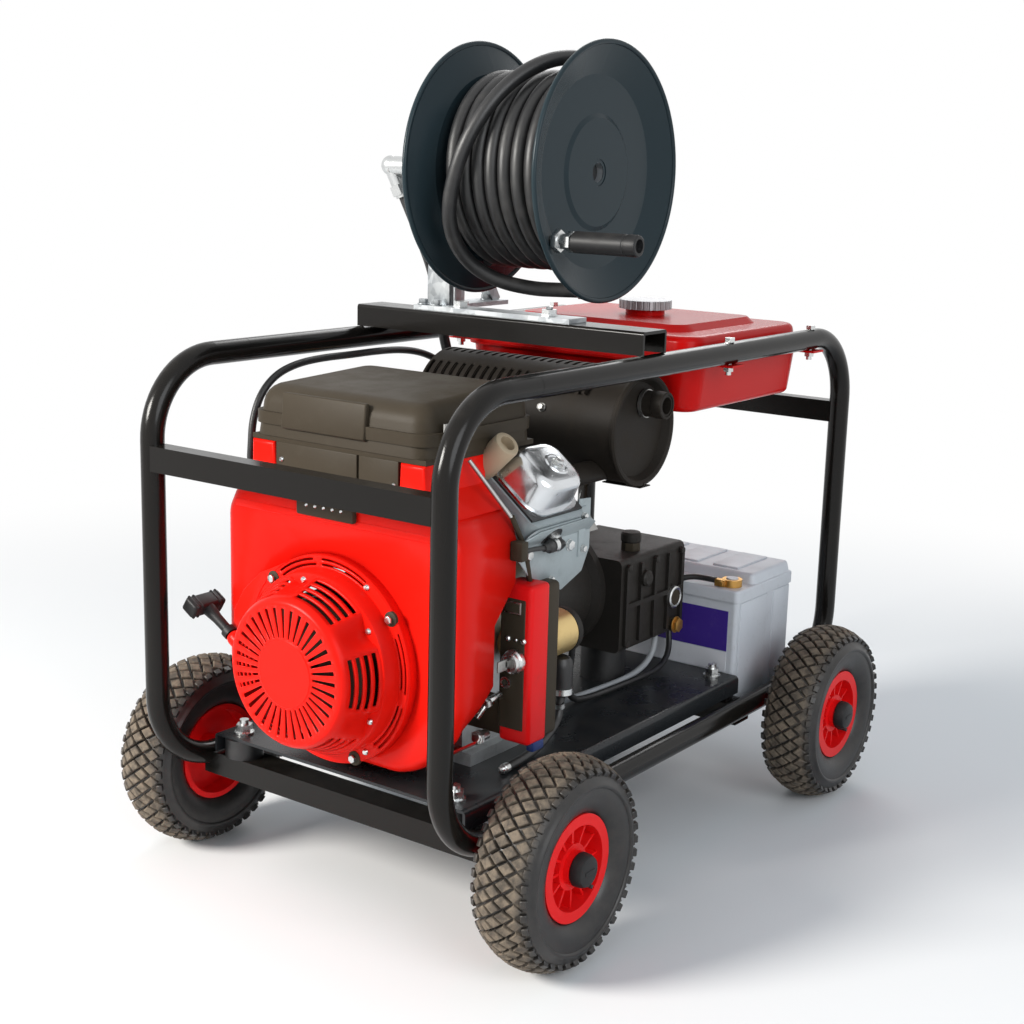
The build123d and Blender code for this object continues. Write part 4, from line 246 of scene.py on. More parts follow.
def tread_rubber(name):
    """Tyre rubber: grey-brown dust on the block tops, painted shade darkening down into the gaps, dark
    shoulders and sidewalls.
    """
    rubber = Finish(name)
    dust = rubber.band(rubber.noise(70, detail=6, rough=0.7), 0.34, 0.68)
    tread = rubber.node("ShaderNodeAttribute", {"attribute_name": "tread"}, out="Fac")
    # Dust lightens the block tops; the colour darkens down into the gaps as painted shade.
    tone = rubber.mix(tread * (0.22 + dust * 0.74), rgb(25, 24, 24), rgb(126, 112, 95))
    return rubber.surface(
        Base_Color=rubber.mix(dust * 0.13, tone, rgb(92, 86, 80)),
        Roughness=0.36 + tread * 0.44 + dust * 0.08,
        Normal=rubber.bump(rubber.noise(650, detail=4), strength=0.25, depth=0.0005),
    )


def pleated_paper(name):
    """Filter paper with fine pleats."""
    paper = Finish(name)
    pleats = paper.node("ShaderNodeTexWave", {"bands_direction": "X"}, {"Vector": paper.place, "Scale": 60.0})
    return paper.surface(
        Base_Color=paper.mix(pleats, rgb(196, 178, 132), rgb(226, 212, 174)),
        Roughness=0.8 + pleats * 0.1,
        Normal=paper.bump(pleats, strength=0.6, depth=0.001),
    )


DUST = rgb(104, 96, 86)
finishes = {
    "black_paint": gloss_paint("frame_black", rgb(20, 18, 16), DUST, rough=0.18, dusty=0.1, shine=0.22),
    "red_paint": gloss_paint(
        "engine_red", rgb(226, 26, 16), rgb(205, 60, 46), rough=0.28, dusty=0.05, shine=0.09,
    ),
    "slate_paint": gloss_paint(
        "reel_slate", rgb(36, 48, 53), rgb(92, 100, 106), rough=0.24, dusty=0.08, shine=0.16,
    ),
    "black_heat_paint": cast_metal(
        "heat_black", rgb(34, 30, 26), rgb(50, 44, 37), rough=0.5, metallic=0.0, grain=0.2, shine=0.15,
    ),
    "black_cast": cast_metal(
        "pump_black", rgb(36, 33, 30), rgb(22, 20, 18), rough=0.46, metallic=0.0, shine=0.25,
    ),
    "cast_aluminium": cast_metal("engine_casting", rgb(186, 190, 192), rgb(92, 92, 90), rough=0.42),
    "brass": cast_metal(
        "pump_brass", rgb(196, 152, 84), rgb(110, 80, 42), rough=0.36, metallic=0.95, grain=0.25,
    ),
    "steel": bare_metal("plain_steel", rgb(160, 160, 158), rgb(92, 80, 68), rough=0.34),
    "bright_steel": bare_metal("zinc_plate", rgb(208, 210, 210), rgb(150, 146, 138), rough=0.2),
    "gold_steel": bare_metal("yellow_zinc", rgb(216, 190, 134), rgb(160, 124, 74), rough=0.34),
    "galvanised": spangled_zinc("stand_zinc"),
    "black_plastic": moulded_plastic(
        "black_moulding", rgb(60, 53, 43), rgb(80, 73, 63), dusty=0.05, shine=0.12,
    ),
    "grey_plastic": moulded_plastic(
        "battery_grey", rgb(206, 209, 214), rgb(158, 156, 152), rough=0.4, dusty=0.12,
    ),
    "red_plastic": moulded_plastic(
        "red_moulding", rgb(232, 24, 26), rgb(190, 60, 54), rough=0.3, grain=0.1, dusty=0.08, shine=0.15,
    ),
    "black_rubber": hose_rubber("black_rubber", rgb(26, 26, 27)),
    "tread_rubber": tread_rubber("tread_rubber"),
    "pale_paper": pleated_paper("filter_paper"),
}
polished = bare_metal(
    "polished_cover", rgb(214, 217, 220), rgb(160, 156, 150), rough=0.14, stained=0.2, grain=0.03,
)
sheet_alloy = cast_metal(
    "sheet_alloy", rgb(160, 169, 171), rgb(128, 134, 135), rough=0.42, metallic=0.2, grain=0.12,
)
grip_black = moulded_plastic("grip_black", rgb(28, 28, 29), rgb(70, 66, 62), dusty=0.3, shine=0.3)
conduit_grey = moulded_plastic("conduit_grey", rgb(168, 170, 172), rgb(120, 118, 114), rough=0.4, grain=0.15)
tube_beige = moulded_plastic("tube_beige", rgb(176, 158, 132), rgb(134, 118, 96), rough=0.5, grain=0.2)
plug_blue = moulded_plastic("plug_blue", rgb(30, 52, 110), rgb(80, 90, 110), rough=0.4, grain=0.1)
panel_violet = moulded_plastic("panel_violet", rgb(66, 44, 140), rgb(104, 92, 150), rough=0.35, grain=0.05)
panel_white = moulded_plastic("panel_white", rgb(222, 222, 226), rgb(190, 188, 186), rough=0.4, grain=0.05)
cap_grey = bare_metal("cap_grey", rgb(150, 150, 152), rgb(110, 106, 100), rough=0.34)
# Darker than the engine's red: partly the tank's own deeper red, partly painted shade.
tank_red_with_painted_shade = gloss_paint("tank_red_with_painted_shade", rgb(196, 16, 14), rgb(176, 52, 44), rough=0.22, dusty=0.05, shine=0.1)
# Black paint lightened to a bluish grey: a painted reflection on the glossy tray.
tray_black_with_painted_sheen = gloss_paint("tray_black_with_painted_sheen", rgb(38, 40, 42), DUST, rough=0.26, dusty=0.12, shine=0.25)


# Objects


def add(name, data):
    """Put a mesh, curve, lamp or camera into the scene."""
    made = bpy.data.objects.new(name, data)
    bpy.context.scene.collection.objects.link(made)
    return made


def mesh_of(name, bm, finish):
    """The smooth mesh of a bmesh, with its finish."""
    mesh = bpy.data.meshes.new(name)
    bm.to_mesh(mesh)
    bm.free()
    mesh.shade_smooth()
    mesh.materials.append(finish)
    return mesh


# Camera, light and floor

CAMERA_PLACE = (1.29312, -1.83385, 0.94629)
CAMERA_YAW = radians(35.90)
CAMERA_PITCH = radians(12.49)
CAMERA_ROLL = radians(1.53)
CAMERA_FOCUS = 1634.54 / 1024  # focal length over the picture's width
SENSOR = 36.0
FLOOR_RADIUS = 14.0
FLOOR_FADE = (0.9, 2.4)  # distances between which the floor turns into the white room
WHITE = (1, 1, 1, 1)
SKYLIGHT = (0.8, 0.9, 1.0, 1)
SKYLIGHT_POWER = 0.4
FLOOR_GREY = (0.86, 0.86, 0.86, 1)


def place_camera():
    back = Vector((
        sin(CAMERA_YAW) * cos(CAMERA_PITCH),
        -cos(CAMERA_YAW) * cos(CAMERA_PITCH),
        sin(CAMERA_PITCH),
    ))
    level = Vector((cos(CAMERA_YAW), sin(CAMERA_YAW), 0))
    rise = back.cross(level)
    right = cos(CAMERA_ROLL) * level + sin(CAMERA_ROLL) * rise
    up = cos(CAMERA_ROLL) * rise - sin(CAMERA_ROLL) * level
    lens = bpy.data.cameras.new("camera")
    lens.sensor_width = SENSOR
    lens.lens = CAMERA_FOCUS * SENSOR
    camera = add("camera", lens)
    turn = Matrix((right, up, back)).transposed().to_4x4()
    camera.matrix_world = Matrix.Translation(CAMERA_PLACE) @ turn
    bpy.context.scene.camera = camera


def soft_lamp(name, place, target, size, power, tint=(1.0, 1.0, 1.0)):
    lamp = bpy.data.lights.new(name, "AREA")
    lamp.shape = "DISK"
    lamp.size = size
    lamp.energy = power
    lamp.color = tint
    way = Vector(target) - Vector(place)
    turn = way.to_track_quat("-Z", "Y").to_matrix().to_4x4()
    add(name, lamp).matrix_world = Matrix.Translation(place) @ turn


def white_room():
    """A world that lights softly and looks white to the camera and in reflections."""
    world = bpy.data.worlds.new("room")
    bpy.context.scene.world = world
    room = Tree(world)
    seen = room.node("ShaderNodeLightPath", out="Is Camera Ray")
    shiny = room.node("ShaderNodeLightPath", out="Is Glossy Ray")
    through = room.node("ShaderNodeLightPath", out="Is Transmission Ray")
    ambient = room.node("ShaderNodeBackground", {}, {"Color": SKYLIGHT, "Strength": SKYLIGHT_POWER})
    white = room.node("ShaderNodeBackground", {}, {"Color": WHITE, "Strength": 1.0})
    both = room.node("ShaderNodeMixShader", {}, {0: seen + shiny + through, 1: ambient, 2: white})
    room.node("ShaderNodeOutputWorld", {}, {"Surface": both})


def pale_floor():
    """A floor that takes the shadow near the machine and fades into the white room."""
    cover = Finish("floor_white")
    far = cover.node("ShaderNodeVectorMath", {"operation": "LENGTH"}, {0: cover.place}, out="Value")
    fade = cover.band(far, *FLOOR_FADE)
    seen = cover.node("ShaderNodeLightPath", out="Is Camera Ray")
    shiny = cover.node("ShaderNodeLightPath", out="Is Glossy Ray")
    matt = cover.node("ShaderNodeBsdfDiffuse", {}, {"Color": FLOOR_GREY})
    white = cover.node("ShaderNodeEmission", {}, {"Color": WHITE, "Strength": 1.0})
    both = cover.node("ShaderNodeMixShader", {}, {0: fade * (seen + shiny), 1: matt, 2: white})
    cover.node("ShaderNodeOutputMaterial", {}, {"Surface": both})
    bm = bmesh.new()
    bmesh.ops.create_circle(bm, cap_ends=True, segments=96, radius=FLOOR_RADIUS)
    add("floor", mesh_of("floor", bm, cover.material))


bpy.context.scene.view_settings.view_transform = "Standard"
place_camera()
white_room()
pale_floor()
soft_lamp("key", (-1.5, -3.3, 2.0), (0, -0.1, 0.5), size=1.3, power=205, tint=(1.0, 0.97, 0.92))
soft_lamp("fill", (3.0, -1.4, 1.9), (0, 0, 0.5), size=2.2, power=50, tint=(0.94, 0.97, 1.0))
soft_lamp("rim", (-1.2, 2.8, 2.6), (0, 0.1, 0.6), size=2.0, power=36)


# Mesh helpers: lengths in millimetres

FRONT = Vector((0, -1, 0))
BACK = Vector((0, 1, 0))
RIGHT = Vector((1, 0, 0))
UP = Vector((0, 0, 1))


def mm(*values):
    return Vector(values) * MM


def standing(way):
    """The turn that stands a shape's own +Z along a direction."""
    return Vector(way).to_track_quat("Z", "Y").to_matrix().to_4x4()


def aim(place, way):
    """The matrix that puts a shape at a place, with its own +Z along a direction."""
    return Matrix.Translation(mm(*place)) @ standing(way)


def edges_of(verts):
    return list({line for vert in verts for line in vert.link_edges})


def faces_of(verts):
    return list({face for vert in verts for face in vert.link_faces})


def edges_between(verts):
    """The edges whose two ends are both among these vertices."""
    ends = set(verts)
    return [line for line in edges_of(verts) if ends.issuperset(line.verts)]


def edges_along(verts, way, least):
    """The edges at these vertices that run more than this far along a direction."""
    found = []
    for line in edges_of(verts):
        first, second = line.verts
        if abs((first.co - second.co).dot(way)) > least * MM:
            found.append(line)
    return found


def verts_after(bm, before):
    """The vertices that a bmesh has gained."""
    return [vert for vert in bm.verts if vert not in before]


def extruded(bm, faces, height):
    """Raise faces along Z and give the raised vertices."""
    raised = bmesh.ops.extrude_face_region(bm, geom=faces)["geom"]
    top = [thing for thing in raised if isinstance(thing, bmesh.types.BMVert)]
    bmesh.ops.translate(bm, vec=mm(0, 0, height), verts=top)
    return top


def round_edges(bm, edges, width, segments=2):
    bmesh.ops.bevel(
        bm, geom=edges, offset=width * MM, offset_type="OFFSET", affect="EDGES",
        segments=segments, profile=0.5, material=-1, clamp_overlap=True,
    )


def lathe(bm, profile, place, way, steps):
    """Turn (along, radius) points about an axis through a place."""
    points = [bm.verts.new((radius * MM, 0, along * MM)) for along, radius in profile]
    lines = [bm.edges.new(pair) for pair in zip(points, points[1:])]
    before = set(bm.verts)
    bmesh.ops.spin(
        bm, geom=points + lines, cent=(0, 0, 0), axis=(0, 0, 1), dvec=(0, 0, 0),
        angle=2 * pi, steps=steps, use_merge=True,
    )
    made = [vert for vert in points + verts_after(bm, before) if vert.is_valid]
    bmesh.ops.remove_doubles(bm, verts=made, dist=1e-6)
    made = [vert for vert in made if vert.is_valid]
    bmesh.ops.transform(bm, matrix=aim(place, way), verts=made)
    bmesh.ops.recalc_face_normals(bm, faces=faces_of(made))


def collar(bm, low, high, inner, outer, place, way, steps):
    """A plain ring between two distances along its axis and two radii."""
    lathe(bm, [(low, inner), (low, outer), (high, outer), (high, inner), (low, inner)], place, way, steps)


def rod(bm, start, end, radius, end_radius=None, sides=28, edge=0.0):
    """A round bar or cone between two places."""
    start, end = Vector(start), Vector(end)
    made = bmesh.ops.create_cone(
        bm, cap_ends=True, segments=sides, radius1=radius * MM,
        radius2=(radius if end_radius is None else end_radius) * MM, depth=(end - start).length * MM,
        matrix=aim((start + end) / 2, end - start),
    )["verts"]
    if edge:
        rims = [line for line in edges_of(made) if max(len(face.verts) for face in line.link_faces) > 4]
        round_edges(bm, rims, edge)


def cuboid(bm, centre, size, turn=None):
    """A sharp box, turned by a matrix about its centre if one is given."""
    scale = Matrix.Diagonal((*mm(*size), 1))
    matrix = Matrix.Translation(mm(*centre)) @ (turn or Matrix()) @ scale
    return bmesh.ops.create_cube(bm, size=1, matrix=matrix)["verts"]


def block(bm, centre, size, edge=1.0, turn=None, segments=2):
    """A box with rounded edges."""
    made = cuboid(bm, centre, size, turn)
    if edge:
        round_edges(bm, edges_of(made), edge, segments)


def slab(bm, outline, thick, place, way, edge=1.0, segments=2):
    """A plate with this outline that stands out from a place along a direction."""
    rim = [bm.verts.new((u * MM, v * MM, 0)) for u, v in outline]
    top = extruded(bm, [bm.faces.new(rim)], thick)
    bmesh.ops.transform(bm, matrix=aim(place, way), verts=rim + top)
    bmesh.ops.recalc_face_normals(bm, faces=faces_of(rim + top))
    round_edges(bm, edges_between(top), edge, segments)


def screw(bm, place, way, radius):
    """A domed screw head."""
    dome = [(0, 0), (0, 1), (0.4, 0.92), (0.75, 0.6), (0.85, 0)]
    lathe(bm, [(along * radius, share * radius) for along, share in dome], place, way, steps=20)


def bolt(bm, place, way, across, height, washer=0.0):
    """A hexagon head on its washer, standing on a place."""
    place, way = Vector(place), Vector(way).normalized()
    base = place + way * (1.6 if washer else 0)
    if washer:
        rod(bm, place, base, washer, sides=32, edge=0.4)
    rod(bm, base, base + way * height, across / 2 / cos(pi / 6), sides=6, edge=0.8)


def piece(name, bm, slot, node=None, finish=None, body="chassis", crease=32):
    """Make a piece from a bmesh, let it ride on its body, and hide the node that it replaces."""
    mesh = mesh_of(name, bm, finishes[slot] if finish is None else finish)
    mesh.set_sharp_from_angle(angle=radians(crease))
    made = add(name, mesh)
    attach(made, body)
    if node:
        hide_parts(node)
    return made


def thicken(made, wall):
    """Give a shell its wall, inwards."""
    skin = made.modifiers.new("skin", "SOLIDIFY")
    skin.thickness = wall * MM
    skin.offset = -1


# Cords

rubber = finishes["black_rubber"]


def cord(
    name, points, radius, node, length, finish=rubber, body="chassis",
    far_end="object", stiffness="medium", lay="loose", **pieces,
):
    """A smooth tube on a NURBS line through a route given in millimetres."""
    line = bpy.data.curves.new(name, "CURVE")
    line.dimensions = "3D"
    line.bevel_depth = radius * MM
    line.bevel_resolution = 6
    line.resolution_u = 8
    line.use_fill_caps = True
    spline = line.splines.new("NURBS")
    spline.points.add(len(points) - 1)
    for control, point in zip(spline.points, points):
        control.co = (*mm(*point), 1.0)
    spline.order_u = 3
    spline.use_endpoint_u = True
    line.materials.append(finish)
    made = add(name, line)
    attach(made, body)
    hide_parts(node)


REEL_Y = -50.0
REEL_Z = 920.7
HOSE_R = 9.5
HOSE_COIL_R = 118.0
HOSE_PITCH = 20.2
HOSE_FIRST_X = -34.0
HOSE_TURNS = 7
HOSE_LAST_X = HOSE_FIRST_X + HOSE_TURNS * HOSE_PITCH
STEPS_A_TURN = 12
HALF_STEP = pi / STEPS_A_TURN  # between a control point and where the hose touches the control line


def round_reel(x, radius, turn):
    """A place round the reel, in turns from its lowest point by way of the back."""
    return Vector((x, REEL_Y + radius * sin(2 * pi * turn), REEL_Z - radius * cos(2 * pi * turn)))


def hose_points():
    """Wound turns, then the loose turn that crosses back over them and the tail under the reel."""
    out = 1 / cos(HALF_STEP)
    points = [(HOSE_FIRST_X - 0.5, REEL_Y - 2 * HOSE_R, REEL_Z - HOSE_COIL_R)]
    for i in range(STEPS_A_TURN * HOSE_TURNS):
        turn = (i + 0.5) / STEPS_A_TURN
        points.append(round_reel(HOSE_FIRST_X + HOSE_PITCH * turn, HOSE_COIL_R * out, turn))
    loose = [
        (0.9, 2.6), (1.7, 9.0), (1.8, 14.4), (0.4, 18.8), (-4.0, 22.0), (-14.5, 23.5), (-33.0, 24.4),
        (-60.0, 25.0), (-88.0, 25.7),
    ]
    for i, (dx, dr) in enumerate(loose):
        turn = (i + 0.5) / STEPS_A_TURN
        points.append(round_reel(HOSE_LAST_X + dx, (HOSE_COIL_R + dr) * out, turn))
    tail = [
        (-112, -144, -30), (-122, -130, -76), (-118, -100, -116), (-94, -66, -141), (-58, -33, -151),
        (-28, -11, -151.5), (-7.9, 0, -151.3),
    ]
    for dx, dy, dz in tail:
        points.append(Vector((HOSE_LAST_X + dx, REEL_Y + dy, REEL_Z + dz)))
    return points


FEED_R = 7.5
FEED_POINTS = [
    (-94.5, 196, 384.2), (-94.5, 196, 422), (-106.5, 174, 470), (-138.5, 130, 514), (-170.5, 84, 564),
    (-186.5, 50, 626), (-190.5, 28, 694), (-192.5, 14, 764), (-185.5, -28.4, 823.6), (-206.2, -40.6, 878.4),
]
FUEL_R = 5.0
FUEL_POINTS = [
    (-150.3, 165, 583), (-174, 165, 583), (-193, 151, 587), (-201, 125, 597), (-204.5, 91, 614),
    (-206, 51, 636.8), (-206.5, 9, 654.8), (-206, -41, 663.8), (-206.5, -96, 665.8), (-206, -151, 665.3),
    (-206.5, -206, 665.8), (-206, -256, 662.8), (-206.5, -297, 651.8), (-206, -326, 628.8),
    (-206.5, -340, 595.8), (-205, -344, 565.8), (-208.2, -343, 541.2), (-200.7, -343, 521.2),
    (-180.3, -343, 510.6),
]
DRAIN_R = 6.0
DRAIN_POINTS = [
    (150, -135, 248.4), (151, -137, 224.6), (155, -157, 210), (162, -197, 199), (169, -239, 196.5),
    (171, -279, 196.4),
]
CABLE_R = 4.5
CABLE_POINTS = [
    (155, 262.5, 326.5), (134, 262, 327), (116, 255.5, 327), (101, 246.5, 322), (90, 243.6, 309.2),
    (86, 243.4, 290.2), (87, 243.3, 262.2), (92, 240, 236.2), (100, 228.3, 215.2), (106, 206, 202),
    (108, 170, 196), (107, 120, 195.6), (104, 66, 195.5), (100, 10, 195.6), (104, -40, 206),
    (114, -66, 236), (128.2, -79.8, 276), (139.2, -92.8, 316), (142.2, -111.8, 335), (142.2, -140.8, 335),
]
CONDUIT_POINTS = [
    (96, 192, 249.8), (96, 192, 230), (96, 180, 213), (95.5, 158, 202), (95, 122, 196.4),
    (91, 70, 195.2), (86, 12, 195.2), (84, -42, 198), (90, -84, 214), (90, -111.8, 214),
]
LEAD_R = 3.0
RIGHT_LEAD_POINTS = [(201.3, -258, 477.9), (202.1, -274, 480.6), (202.8, -290, 481.6), (202.8, -302, 481.8)]
LEFT_LEAD_POINTS = [(-201.3, -210, 477.9), (-202.1, -242, 481), (-202.8, -274, 481.9), (-202.8, -302, 481.8)]

cord(
    "hose", hose_points(), HOSE_R, "hose_coil", 6.157, body="reel",
    far_end="fitting", stiffness="stiff", lay="coiled", with_pieces=["hose_connector"],
)
cord("feed_line", FEED_POINTS, FEED_R, "feed_hose", 0.581, stiffness="stiff", lay="hanging")
cord("fuel_line", FUEL_POINTS, FUEL_R, "fuel_hose", 0.683)
cord("starter_cable", CABLE_POINTS, CABLE_R, "battery_cables", 0.628)
cord("wire_conduit", CONDUIT_POINTS, CABLE_R, "battery_cables", 0.337, finish=conduit_grey)
cord("plug_lead_right", RIGHT_LEAD_POINTS, LEAD_R, "plug_leads", 0.044)
cord("plug_lead_left", LEFT_LEAD_POINTS, LEAD_R, "plug_leads", 0.092)


def drain_fittings():
    """The rubber boot over the drain elbow, the clips, and the bright plug in the hose's end."""
    x, y = 150, -135
    elbow_z = 288.6
    boot = [
        (0, 0), (0, 12), (2, 14.6), (8, 15.4), (40, 15.6), (47, 14.6), (52, 11.5), (54.6, 6), (55, 0),
    ]
    plug = [(0, 0), (0, 6.1), (2, 6.3), (9, 6.3), (10, 5.4), (13, 5.4), (15, 3.6), (16, 0)]
    bm = bmesh.new()
    lathe(bm, boot, (x, y, 248.6), UP, steps=40)
    rod(bm, (112.4, y, elbow_z), (x, y, elbow_z), 8.0, edge=1.0)
    piece("drain_boot", bm, "black_rubber", node="drain_hose")
    bm = bmesh.new()
    collar(bm, 0, 7, 6.2, 7.4, (151, -138, 233), (0.1, -0.3, 1), steps=36)
    collar(bm, 0, 8, 15, 16.6, (x, y, 252), UP, steps=40)
    piece("drain_clip", bm, "bright_steel")
    bm = bmesh.new()
    lathe(bm, plug, (171, -279, 196.5), (0.05, -1, 0), steps=36)
    return piece("drain_plug", bm, "bright_steel")


drain_plug = drain_fittings()


def starter_can():
    """The plated can of the starter motor and the dark cap on its end."""
    foot = (142.2, -227.8, 335)
    bm = bmesh.new()
    lathe(bm, [(0, 0), (0, 29), (1, 30), (97, 30), (98, 29), (98, 0)], foot, BACK, steps=64)
    piece("starter_can", bm, "gold_steel", node="starter_motor")
    bm = bmesh.new()
    lathe(bm, [(98, 0), (98, 30.4), (108, 30.4), (112, 27), (112, 0)], foot, BACK, steps=64)
    piece("starter_cap", bm, "black_cast")


starter_can()
cord("drain_line", DRAIN_POINTS, DRAIN_R, "drain_hose", 0.172, far_end="fitting", with_pieces=[drain_plug])

ROPE_RISE = radians(32.3)
ROPE_WAY = Vector((-cos(ROPE_RISE), 0, sin(ROPE_RISE)))
ROPE_MOUTH = Vector((-148, -438, 341))
ROPE_R = 3.0
ROPE_LENGTH = 44
ROPE_PAST_MOUTH = 0.4
HANDLE_REACH = 58.0  # from the guide's mouth to the middle of the handle's bar


def starter_rope():
    """The rope in its guide: a straight tube."""
    start = ROPE_MOUTH - ROPE_WAY * (ROPE_LENGTH - ROPE_PAST_MOUTH)
    wall = [(along, ROPE_R) for along in range(0, ROPE_LENGTH + 1, 2)]
    bm = bmesh.new()
    lathe(bm, [(0, 0)] + wall + [(ROPE_LENGTH, 0)], start, ROPE_WAY, steps=16)
    made = add("starter_rope", mesh_of("starter_rope", bm, rubber))
    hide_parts("recoil_rope")
    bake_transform(made)


starter_rope()

BANKS = ((1, -228.0), (-1, -180.0))  # the side of each cylinder, and its place along the shaft
BANK_LEAN = radians(38)
PLUG_X = 189.2
PLUG_Z = 487.4
PLUG_ELBOW = 15.4


def bank_axes(side):
    """The way along a cylinder, and the way out of its lower side."""
    along = Vector((side * sin(BANK_LEAN), 0, cos(BANK_LEAN)))
    out = Vector((side * cos(BANK_LEAN), 0, -sin(BANK_LEAN)))
    return along, out


def plug_places(side, y):
    """A spark plug's seat, the way that it points, and the elbow of its boot."""
    seat = Vector((side * PLUG_X, y, PLUG_Z))
    out = bank_axes(side)[1]
    return seat, out, seat + out * PLUG_ELBOW


def spark_boots():
    """Elbow boots on the plugs of both cylinders."""
    cap = [(0, 0), (0, 9), (2, 9), (3, 8), (14, 8), (17, 8.8), (20, 8.8), (22, 7), (23, 0)]
    sleeve = [(0, 0), (0, 8), (14, 7.6), (18, 8.2), (20, 8.2), (22, 6.2), (30, 4.4), (30.5, 0)]
    bm = bmesh.new()
    for side, y in BANKS:
        seat, out, elbow = plug_places(side, y)
        lathe(bm, cap, seat, out, steps=32)
        lathe(bm, sleeve, elbow, FRONT, steps=32)
    piece("spark_boots", bm, "black_rubber", node="plug_leads")


spark_boots()


def post_clamps():
    """Lead clamps on the battery's posts, with their lugs and bolts."""
    bm = bmesh.new()
    for x in (175, -32):
        collar(bm, 0.2, 11.2, 9.2, 15, (x, 276.5, 318.2), UP, steps=40)
        block(bm, (x - 12, 264.5, 323.8), (18, 11, 10.6), 1.2)
        bolt(bm, (x - 8, 258.6, 324), FRONT, 8, 4)
    piece("post_clamps", bm, "brass", node="battery_cables")


post_clamps()


# Wheels

TYRE_R = 130.0
TRACK_HALF = 296.0
WHEELS = {
    "front_right": (1, -347.0),
    "front_left": (-1, -347.0),
    "rear_right": (1, 354.0),
    "rear_left": (-1, 354.0),
}
TREAD_COUNT = 42
TREAD_HALF = 33.0
CROWN_DROP = 11.0
BLOCK_HEIGHT = 6.0
BLOCK_HALF_LENGTH = 8.6
BLOCK_TAPER = 0.86
TREAD_ROWS = (  # distance from the tyre's middle, half the width of a block, half a pitch on or not
    (0, 10.8, False), (12, 10.8, True), (-12, 10.8, True), (24, 10.4, False), (-24, 10.4, False),
)
LUG_SIZE = (8, 9.5, 11)
LUG_X = 33.4
LUG_R = 114.0
LUG_LEAN = radians(32)
DUST_EDGE = 36.0  # from the tyre's middle to where its clean shoulder starts
DUST_FADE = 10.0
TYRE_WALL = [
    (26, 62), (26, 66), (28.5, 67.2), (33, 72), (37.2, 80), (39.4, 88), (39.8, 93), (39.6, 97.4),
    (41.2, 98.6), (42, 100.6), (41.4, 102.8), (39.4, 104.2), (37.6, 109), (34.5, 114.4), (29, 118.6),
    (18, 122), (0, 124),
]
TYRE_INSIDE = [(-19, 62), (-31, 90), (-20, 112), (0, 116), (20, 112), (31, 90), (19, 62), (26, 62)]


def crown(x):
    """The tread's outer radius at a distance from the wheel's middle."""
    return TYRE_R - CROWN_DROP * (x / TREAD_HALF) ** 2


def copy_round(bm, verts):
    """Copy one block round the axle, at each pitch of the tread."""
    copies = TREAD_COUNT - 1
    bmesh.ops.spin(
        bm, geom=verts + edges_of(verts) + faces_of(verts), cent=(0, 0, 0), axis=(1, 0, 0), dvec=(0, 0, 0),
        angle=2 * pi * copies / TREAD_COUNT, steps=copies, use_duplicate=True,
    )


def tread_row(bm, x, half_width, staggered):
    """One row of diamond blocks round the tyre."""
    before = set(bm.verts)
    rim = bmesh.ops.create_circle(bm, cap_ends=True, segments=4, radius=MM)["verts"]
    bmesh.ops.scale(bm, vec=(half_width, BLOCK_HALF_LENGTH, 1), verts=rim)
    top = extruded(bm, faces_of(rim), BLOCK_HEIGHT)
    bmesh.ops.scale(bm, vec=(BLOCK_TAPER, BLOCK_TAPER, 1), verts=top)
    round_edges(bm, edges_between(top), 0.7, segments=1)
    tilt = Matrix.Rotation(2 * CROWN_DROP * x / TREAD_HALF**2, 4, "Y")
    start = Matrix.Rotation(pi / TREAD_COUNT if staggered else 0, 4, "X")
    seat = start @ Matrix.Translation(mm(x, 0, crown(x) - BLOCK_HEIGHT)) @ tilt
    shape = verts_after(bm, before)
    bmesh.ops.transform(bm, matrix=seat, verts=shape)
    copy_round(bm, shape)


def shoulder_lugs(bm, end):
    """The row of lugs on one shoulder of the tyre."""
    before = set(bm.verts)
    block(bm, (0, 0, 0), LUG_SIZE, 0.8, segments=1)
    lean = Matrix.Rotation(end * LUG_LEAN, 4, "Y")
    start = Matrix.Rotation(pi / TREAD_COUNT, 4, "X")
    shape = verts_after(bm, before)
    bmesh.ops.transform(bm, matrix=start @ Matrix.Translation(mm(end * LUG_X, 0, LUG_R)) @ lean, verts=shape)
    copy_round(bm, shape)


def mark_dust_and_gap_shade(bm):
    """Note on each vertex how light its rubber is: dust on the block tops, short of the shoulders, and
    painted shade down into the gaps.
    """
    wear_dust_and_gap_shade = bm.verts.layers.float.new("tread")
    for vert in bm.verts:
        x = vert.co.x / MM
        radius = vert.co.yz.length / MM
        # 1 on the block tops, falling to 0 at the gap floors: dust above, painted shade below.
        raised = 1 - (crown(x) - radius) / BLOCK_HEIGHT
        inward = (DUST_EDGE - abs(x)) / DUST_FADE
        vert[wear_dust_and_gap_shade] = min(1.0, max(0.0, min(raised, inward)))


def tyre(place, side, y):
    """A carcass with ridged sidewalls, rows of tread blocks and lugs on its shoulders."""
    bm = bmesh.new()
    far_wall = [(-x, r) for x, r in reversed(TYRE_WALL[:-1])]
    lathe(bm, TYRE_WALL + far_wall + TYRE_INSIDE, (0, 0, 0), RIGHT, steps=96)
    for row in TREAD_ROWS:
        tread_row(bm, *row)
    for end in (1, -1):
        shoulder_lugs(bm, end)
    mark_dust_and_gap_shade(bm)
    bmesh.ops.translate(bm, vec=mm(side * TRACK_HALF, y, TYRE_R), verts=bm.verts)
    piece(
        f"tyre_{place}_treaded", bm, "tread_rubber", node=f"tyre_{place}", body=f"wheel_{place}", crease=40,
    )


for place, (side, y) in WHEELS.items():
    tyre(place, side, y)


# Hose layers under the one that shows

